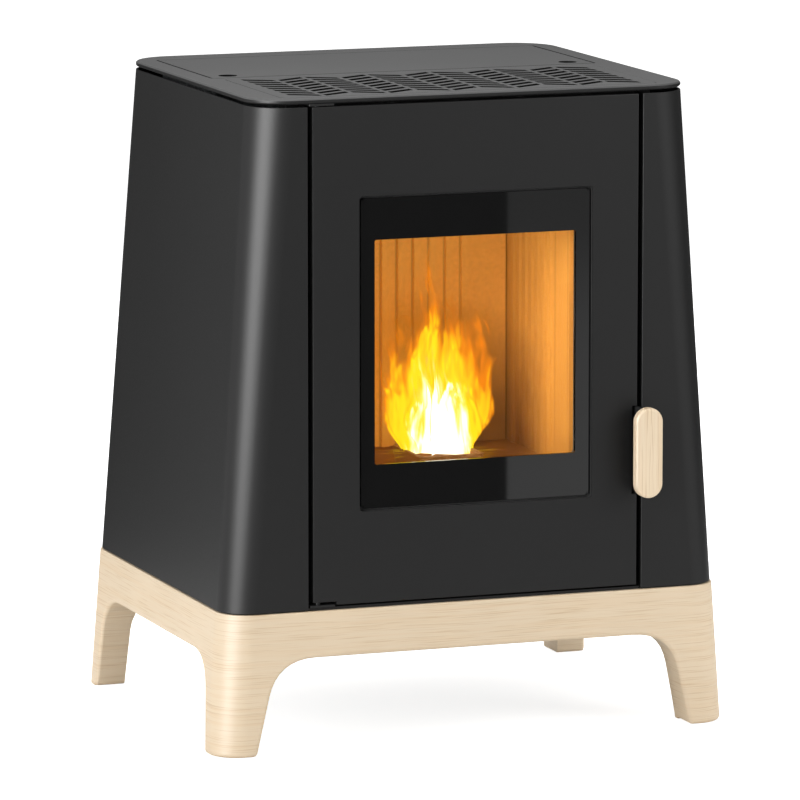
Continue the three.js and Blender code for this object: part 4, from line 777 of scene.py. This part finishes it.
class STOVE_OT_window(bpy.types.Operator):
    """Cuts the glass into its black border and its clear window"""

    bl_idname = "stove.window"
    bl_label = "Window"

    def execute(self, context):
        low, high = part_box("door_glass")
        border = sizes()
        left, right = low.x + border.frit_side, high.x - border.frit_side
        bottom, top = low.z + border.frit_bottom, high.z - border.frit_top
        ring = block("window_border", low, high)
        pick(ring, "polygons", lambda face: abs(face.normal.y) > 0.9)
        bpy.ops.mesh.inset(thickness=border.frit_side, use_individual=True)
        leave_edit()

        def inner(vertex):
            return abs(vertex.co.x) < high.x - 1 * MM

        def opening(face):
            return abs(face.normal.y) > 0.9 and all(inner(ring.data.vertices[i]) for i in face.vertices)

        middle = (low.z + high.z) / 2
        for way, band in ((1, border.frit_top), (-1, border.frit_bottom)):
            pick(ring, "vertices", lambda v: inner(v) and (v.co.z - middle) * way > 0)
            bpy.ops.transform.translate(value=(0, 0, (border.frit_side - band) * way))
            leave_edit()
        pick(ring, "polygons", opening)
        bpy.ops.mesh.bridge_edge_loops()
        leave_edit()
        for corner, test in ((border.glass_corner, False), (border.window_corner, True)):

            def corner_edge(edge, inside=test):
                line, middle_of = edge_line(ring, edge)
                return lies_along(line, 1) and (abs(middle_of.x) < high.x - 1 * MM) == inside

            pick(ring, "edges", corner_edge)
            bpy.ops.mesh.bevel(offset=corner, segments=6, affect="EDGES")
            leave_edit()
        round_edges(ring, 0.15 * MM, 1)
        put_on(ring, "door", "glass", frit_enamel(), "door_glass")
        pane = block("window_pane", (left, low.y + 0.05 * MM, bottom), (right, high.y, top))
        pick(pane, "edges", lambda edge: lies_along(edge_line(pane, edge)[0], 1))
        bpy.ops.mesh.bevel(offset=border.window_corner, segments=6, affect="EDGES")
        leave_edit()
        round_edges(pane, 0)
        put_on(pane, "door", "glass", clear_glass(), "door_glass")
        paint_faces(pane, frit_enamel(), lambda face: abs(face.normal.y) < 0.5)
        return {"FINISHED"}


class STOVE_OT_handle(bpy.types.Operator):
    """Shapes the pill-shaped wooden grip, and finishes the lever that it is screwed to"""

    bl_idname = "stove.handle"
    bl_label = "Handle"

    def execute(self, context):
        low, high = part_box("handle_grip")
        grip = block("grip", low, high)
        pick(grip, "edges", lambda edge: lies_along(edge_line(grip, edge)[0], 1))
        bpy.ops.mesh.bevel(offset=(high.x - low.x) / 2 * 0.999, segments=20, affect="EDGES")
        bpy.ops.mesh.select_all(action="SELECT")
        bpy.ops.mesh.remove_doubles(threshold=0.05 * MM)
        leave_edit()
        round_edges(grip, sizes().grip_edge, 6, 50)
        put_on(grip, "handle", "wood", grip_wood(), "handle_grip")
        dress(["handle_lever"], "dark_steel", heat_paint(), sizes().fine_edge)
        return {"FINISHED"}


class STOVE_OT_top(bpy.types.Operator):
    """Finishes the cast top plate and the slotted grille let into it"""

    bl_idname = "stove.top"
    bl_label = "Top"

    def execute(self, context):
        (plate,) = dress(["top_plate"], "cast_iron", cast_iron(), 0.3 * MM, 2)
        low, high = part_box("top_grille")
        # Painted shade: the plate's upright faces get the darker stove paint, so that they stay darker
        # than its iron top.
        paint_faces(plate, stove_paint(), lambda face: face.normal.z < 0.5)

        def in_opening(face):
            beside = abs(face.center.x) < high.x + 12 * MM
            return face.normal.z < 0.5 and beside and face.center.y > low.y

        # Painted shade on the walls round the grille's opening.
        paint_faces(plate, sooty_gap(), in_opening)
        grille = copy_of("top_grille", whole=False)
        round_edges(grille, 0)
        put_on(grille, body_of("top_grille"), "cast_iron", cast_iron(), "top_grille")
        # Painted shade on the walls of the grille's slots.
        paint_faces(grille, sooty_gap(), lambda face: face.normal.z < 0.3)
        return {"FINISHED"}


class STOVE_OT_lid(bpy.types.Operator):
    """Finishes the hopper lid with its finger recesses, its seal and its pins"""

    bl_idname = "stove.lid"
    bl_label = "Lid"

    def execute(self, context):
        (lid,) = dress(["hopper_lid"], "cast_iron", cast_iron(), 0.15 * MM, 1)
        low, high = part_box("hopper_lid")
        # The upper edge leans in on three sides, so that the seam round the lid opens upwards.
        draft = 0.9 * MM

        def upper_edge(vertex):
            return abs(vertex.co[axis] - edge) < 0.3 * MM and vertex.co.z > high.z - 1 * MM

        for axis, edge, step in (
            (0, low.x, (draft, 0, 0)), (0, high.x, (-draft, 0, 0)), (1, low.y, (0, draft, 0))
        ):
            pick(lid, "vertices", upper_edge)
            bpy.ops.transform.translate(value=step)
            leave_edit()
        # Painted shade on the lid's sides, so that the seam round it shows dark.
        paint_faces(lid, sooty_gap(), lambda face: face.normal.z < 0.3)
        dress(["lid_seal"], "rubber", silicone(), sizes().fine_edge)
        dress(["lid_pin_left", "lid_pin_right"], "bare_steel", turned_steel(), 0)
        return {"FINISHED"}


class STOVE_OT_fire_chamber(bpy.types.Operator):
    """Finishes the steel shell, the ribbed liners, the baffle and what lies under the fire"""

    bl_idname = "stove.fire_chamber"
    bl_label = "Fire chamber"

    def execute(self, context):
        dress(["liner_left", "liner_right"], "liner", vermiculite(), 0.2 * MM, 1)
        back = copy_of("liner_back")
        # The back board is drawn on to the side boards, so that no light shows at the corners.
        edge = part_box("liner_back")[1].x
        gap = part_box("liner_right")[0].x - edge
        for side in (-1, 1):
            pick(back, "vertices", lambda v: v.co.x * side > edge - 0.1 * MM)
            bpy.ops.transform.translate(value=(side * gap, 0, 0))
            leave_edit()
        round_edges(back, 0)
        put_on(back, body_of("liner_back"), "liner", vermiculite(), "liner_back")
        dress(["baffle"], "cast_iron", cast_iron(), sizes().cast_edge)
        (shell,) = dress(["firebox_shell"], "dark_steel", heat_paint(), 0)
        low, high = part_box("firebox_shell")
        middle = (low + high) / 2
        # The shell's inner faces get the burnt scale, made light tan with painted firelight.
        paint_faces(shell, fire_scaled_steel(), lambda face: face.normal.dot(face.center - middle) < 0)
        dress(["air_box", "air_inlet_pipe"], "dark_steel", heat_paint(), 0)
        dress(["igniter", "ash_pan"], "zinc_steel", galvanised_steel(), 0)
        return {"FINISHED"}


class STOVE_OT_burn_pot(bpy.types.Operator):
    """Finishes the cast burn pot and fills it with burning pellets"""

    bl_idname = "stove.burn_pot"
    bl_label = "Burn pot"

    def execute(self, context):
        dress(["burn_pot"], "cast_iron", hot_iron(), 0.5 * MM, 1)
        low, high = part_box("burn_pot")
        middle = (low + high) / 2
        chance = random.Random(4)
        radius, pellet_length, layers, first_layer = sizes().pellet_radius, 16 * MM, 4, 14 * MM
        bpy.ops.mesh.primitive_cylinder_add(vertices=10, radius=radius, depth=pellet_length)
        first = bpy.context.object
        round_edges(first, 0.6 * MM, 1)
        pellets = [first]
        for layer in range(layers):
            for _ in range(16 - 2 * layer):
                select_only(first)
                bpy.ops.object.duplicate()
                pellet = bpy.context.object
                reach = 1 - 0.16 * layer
                pellet.location = (
                    middle.x + chance.uniform(-22, 22) * MM * reach,
                    middle.y + chance.uniform(-28, 28) * MM * reach,
                    low.z + first_layer + 6.2 * MM * layer,
                )
                tilt, turn = chance.uniform(-0.25, 0.25), chance.uniform(0, math.pi)
                pellet.rotation_euler = (math.pi / 2, tilt, turn)
                pellets.append(pellet)
        first.location = (middle.x, middle.y, low.z + first_layer)
        first.rotation_euler = (math.pi / 2, 0, 0.5)
        for pellet in pellets:
            pellet.select_set(True)
        bpy.context.view_layer.objects.active = first
        bpy.ops.object.join()
        first.name = "burning_pellets"
        bpy.ops.object.transform_apply()
        put_on(first, "burn_pot", "cast_iron", ember())
        return {"FINISHED"}


class STOVE_OT_flame(bpy.types.Operator):
    """Raises the flames from the burn pot as curved sheets of burning gas"""

    bl_idname = "stove.flame"
    bl_label = "Flame"

    # Each sheet: x and y of its foot from the pot's middle, width in mm, share of the height,
    # then in degrees its turn, its lean to the right, its curl and its twist.
    SHEETS = (
        (0, 0, 150, 0.70, -20, 0, 40, 8),
        (-4, -6, 128, 0.90, -24, -3, 30, 10),
        (-8, 4, 64, 1.05, -20, -2, 30, 14),
        (6, 8, 110, 0.78, -12, 3, -40, -10),
        (14, -4, 84, 0.74, -15, 10, 30, 12),
        (20, 4, 66, 0.78, -30, 14, -30, 12),
        (-14, 0, 90, 0.72, -15, -9, -30, -12),
        (-20, 6, 64, 0.60, -20, -16, 30, 14),
        (0, 0, 110, 0.72, 62, 0, 50, 12),
        (2, 18, 120, 0.74, 10, 2, -30, -12),
        (0, -18, 110, 0.55, -20, 2, 50, 8),
    )

    def execute(self, context):
        low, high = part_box("burn_pot")
        middle = (low + high) / 2
        foot = high.z - 3 * MM
        for number, (x, y, width, share, turn, lean, curl, twist) in enumerate(self.SHEETS, 1):
            tall = sizes().flame_height * share
            place, rotation = (0, 0, tall / 2), (math.pi / 2, 0, 0)
            bpy.ops.mesh.primitive_grid_add(
                x_subdivisions=14, y_subdivisions=22, size=1, location=place, rotation=rotation
            )
            sheet = bpy.context.object
            sheet.name = f"flame_{number}"
            sheet.scale = (width * MM, tall, 1)
            bpy.ops.object.transform_apply()
            for name, method, angle in (("curl", "BEND", curl), ("twist", "TWIST", twist)):
                change = sheet.modifiers.new(name, "SIMPLE_DEFORM")
                change.deform_method = method
                change.deform_axis = "Z"
                change.angle = math.radians(angle)
                bpy.ops.object.modifier_apply(modifier=name)
            sheet.rotation_euler = (0, math.radians(lean), math.radians(turn))
            sheet.location = (middle.x + x * MM, middle.y + y * MM, foot)
            bpy.ops.object.transform_apply()
            bpy.ops.object.shade_smooth()
            put_on(sheet, "burn_pot", "liner", flame_gas())
        return {"FINISHED"}


class STOVE_OT_works(bpy.types.Operator):
    """Finishes the hopper, the feed screw, the fans, the smoke way and their motors"""

    bl_idname = "stove.works"
    bl_label = "Works"

    def execute(self, context):
        zinc = ["hopper", "auger_tube", "auger_motor", "gas_fan_housing", "gas_fan_motor"]
        zinc += ["room_fan_housing", "room_fan_motor"]
        dress(zinc, "zinc_steel", galvanised_steel(), 0)
        bare = ["auger_screw", "auger_bush", "gas_impeller", "room_fan_rotor"]
        dress(bare, "bare_steel", turned_steel(), 0)
        dress(["flue_spigot", "smoke_duct"], "dark_steel", heat_paint(), 0)
        return {"FINISHED"}


class STOVE_OT_electrics(bpy.types.Operator):
    """Finishes the control board, its bracket, the pressure switch, the power inlet and the rocker"""

    bl_idname = "stove.electrics"
    bl_label = "Electrics"

    def execute(self, context):
        dress(["control_bracket"], "zinc_steel", galvanised_steel(), 0)
        dress(["control_board"], "circuit_board", board_laminate(), 0)
        moulded = ["power_inlet", "rocker_switch", "pressure_switch"]
        dress(moulded, "black_plastic", moulded_plastic(), 0.4 * MM)
        return {"FINISHED"}


class STOVE_OT_stage(bpy.types.Operator):
    """Sets up the pale floor, the soft lamps, the dark flags, the firelight and the camera"""

    bl_idname = "stove.stage"
    bl_label = "Stage"

    # Each lamp: name, place, aim, width, height, watts, whether it lights matt and glossy surfaces.
    LAMPS = (
        ("left_softbox", (-2.6, -0.8, 1.1), (0, 0, 0.35), 0.9, 2.2, 30, True, False),
        ("left_strip", (-2.6, -1.42, 1.1), (0, 0, 0.35), 2.0, 2.2, 270, False, True),
        ("right_softbox", (2.4, -2.4, 1.5), (0, 0, 0.35), 1.5, 1.8, 34, True, True),
        ("top_softbox", (-0.1, 0.1, 2.6), (0, 0, 0.5), 1.6, 1.6, 38, True, True),
        ("back_softbox", (0.8, 2.8, 1.6), (0, 0, 0.4), 1.6, 1.6, 26, True, False),
    )
    # Dark cloths that only gloss sees, which keep the paint dark at its edges and draw the
    # edge in the glass. Each: name, middle, width, height, turn in degrees.
    FLAGS = (
        ("glass_flag", (0.245, -1.30, 0.3), 0.41, 0.6, 0),
        ("back_flag", (0.4, 0.8, 0.6), 2.4, 1.2, 0),
        ("right_flag", (1.1, 0.3, 0.6), 1.4, 1.2, 90),
    )

    def execute(self, context):
        scene = bpy.context.scene
        scene.view_settings.view_transform = "Standard"
        bpy.ops.mesh.primitive_plane_add(size=40, location=(0, 0, -0.2 * MM))
        floor = bpy.context.object
        floor.name = "floor"
        floor.data.materials.append(studio_floor())
        for name, place, width, height, turn in self.FLAGS:
            rotation = (math.pi / 2, 0, math.radians(turn))
            bpy.ops.mesh.primitive_plane_add(size=1, location=place, rotation=rotation)
            flag = bpy.context.object
            flag.name = name
            flag.scale = (width, height, 1)
            flag.data.materials.append(flag_cloth())
            for ray in ("camera", "diffuse", "transmission", "volume_scatter", "shadow"):
                setattr(flag, "visible_" + ray, False)
        for name, place, aim, width, height, watts, matt, gloss in self.LAMPS:
            bpy.ops.object.light_add(type="AREA", location=place)
            lamp = bpy.context.object
            lamp.name = name
            lamp.rotation_mode = "QUATERNION"
            lamp.rotation_quaternion = (Vector(aim) - Vector(place)).to_track_quat("-Z", "Y")
            lamp.data.shape = "RECTANGLE"
            lamp.data.size, lamp.data.size_y = width, height
            lamp.data.energy = watts
            lamp.visible_diffuse = matt
            lamp.visible_glossy = gloss
        low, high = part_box("burn_pot")
        middle = (low + high) / 2
        bpy.ops.object.light_add(type="POINT", location=(middle.x, middle.y, 0.36))
        fire = bpy.context.object
        fire.name = "firelight"
        fire.data.energy = 0.9
        fire.data.color = linear("#ffeeb0")[:3]
        fire.data.shadow_soft_size = 0.02
        fire.visible_camera = fire.visible_glossy = fire.visible_transmission = False
        bpy.ops.object.camera_add(location=CAMERA_PLACE)
        camera = bpy.context.object
        camera.rotation_mode = "QUATERNION"
        camera.rotation_quaternion = Vector(CAMERA_AIM).to_track_quat("-Z", "Y")
        camera.data.lens = CAMERA_LENS
        camera.data.sensor_width = 36
        scene.camera = camera
        world = bpy.data.worlds.new("studio")
        world.use_nodes = True
        world.node_tree.nodes.clear()
        add = functools.partial(add_node, world.node_tree)
        rays = add("LightPath").outputs
        seen = add("Math", {0: rays["Is Camera Ray"], 1: rays["Is Glossy Ray"]}, operation="MAXIMUM")
        through = add("Math", {0: seen, 1: rays["Is Transmission Ray"]}, operation="MAXIMUM")
        strength = add("MapRange", {0: through, 3: ROOM_LIGHT, 4: 1.0})
        sky = add("Background", {"Color": linear("#ffffff"), "Strength": strength})
        add("OutputWorld", {"Surface": sky})
        scene.world = world
        return {"FINISHED"}


PIECES = (
    STOVE_OT_plinth,
    STOVE_OT_casing,
    STOVE_OT_back_screws,
    STOVE_OT_door,
    STOVE_OT_window,
    STOVE_OT_handle,
    STOVE_OT_top,
    STOVE_OT_lid,
    STOVE_OT_fire_chamber,
    STOVE_OT_burn_pot,
    STOVE_OT_flame,
    STOVE_OT_works,
    STOVE_OT_electrics,
    STOVE_OT_stage,
)


class STOVE_PT_panel(bpy.types.Panel):
    """Lists the stove's pieces, sizes and colours"""

    bl_idname = "STOVE_PT_panel"
    bl_label = "Pellet stove"
    bl_space_type = "VIEW_3D"
    bl_region_type = "UI"
    bl_category = "Stove"

    def draw(self, context):
        for piece in PIECES:
            self.layout.operator(piece.bl_idname)
        for group in (context.scene.stove_sizes, context.scene.stove_colours):
            box = self.layout.box()
            for name in group.__annotations__:
                box.prop(group, name)


CLASSES = (StoveSizes, StoveColours, *PIECES, STOVE_PT_panel)


def register():
    for made in CLASSES:
        bpy.utils.register_class(made)
    bpy.types.Scene.stove_sizes = bpy.props.PointerProperty(type=StoveSizes)
    bpy.types.Scene.stove_colours = bpy.props.PointerProperty(type=StoveColours)


def unregister():
    del bpy.types.Scene.stove_colours
    del bpy.types.Scene.stove_sizes
    for made in reversed(CLASSES):
        bpy.utils.unregister_class(made)


def main():
    """Builds every piece in order."""
    register()
    for piece in PIECES:
        group, name = piece.bl_idname.split(".")
        getattr(getattr(bpy.ops, group), name)()


if __name__ == "__main__":
    main()
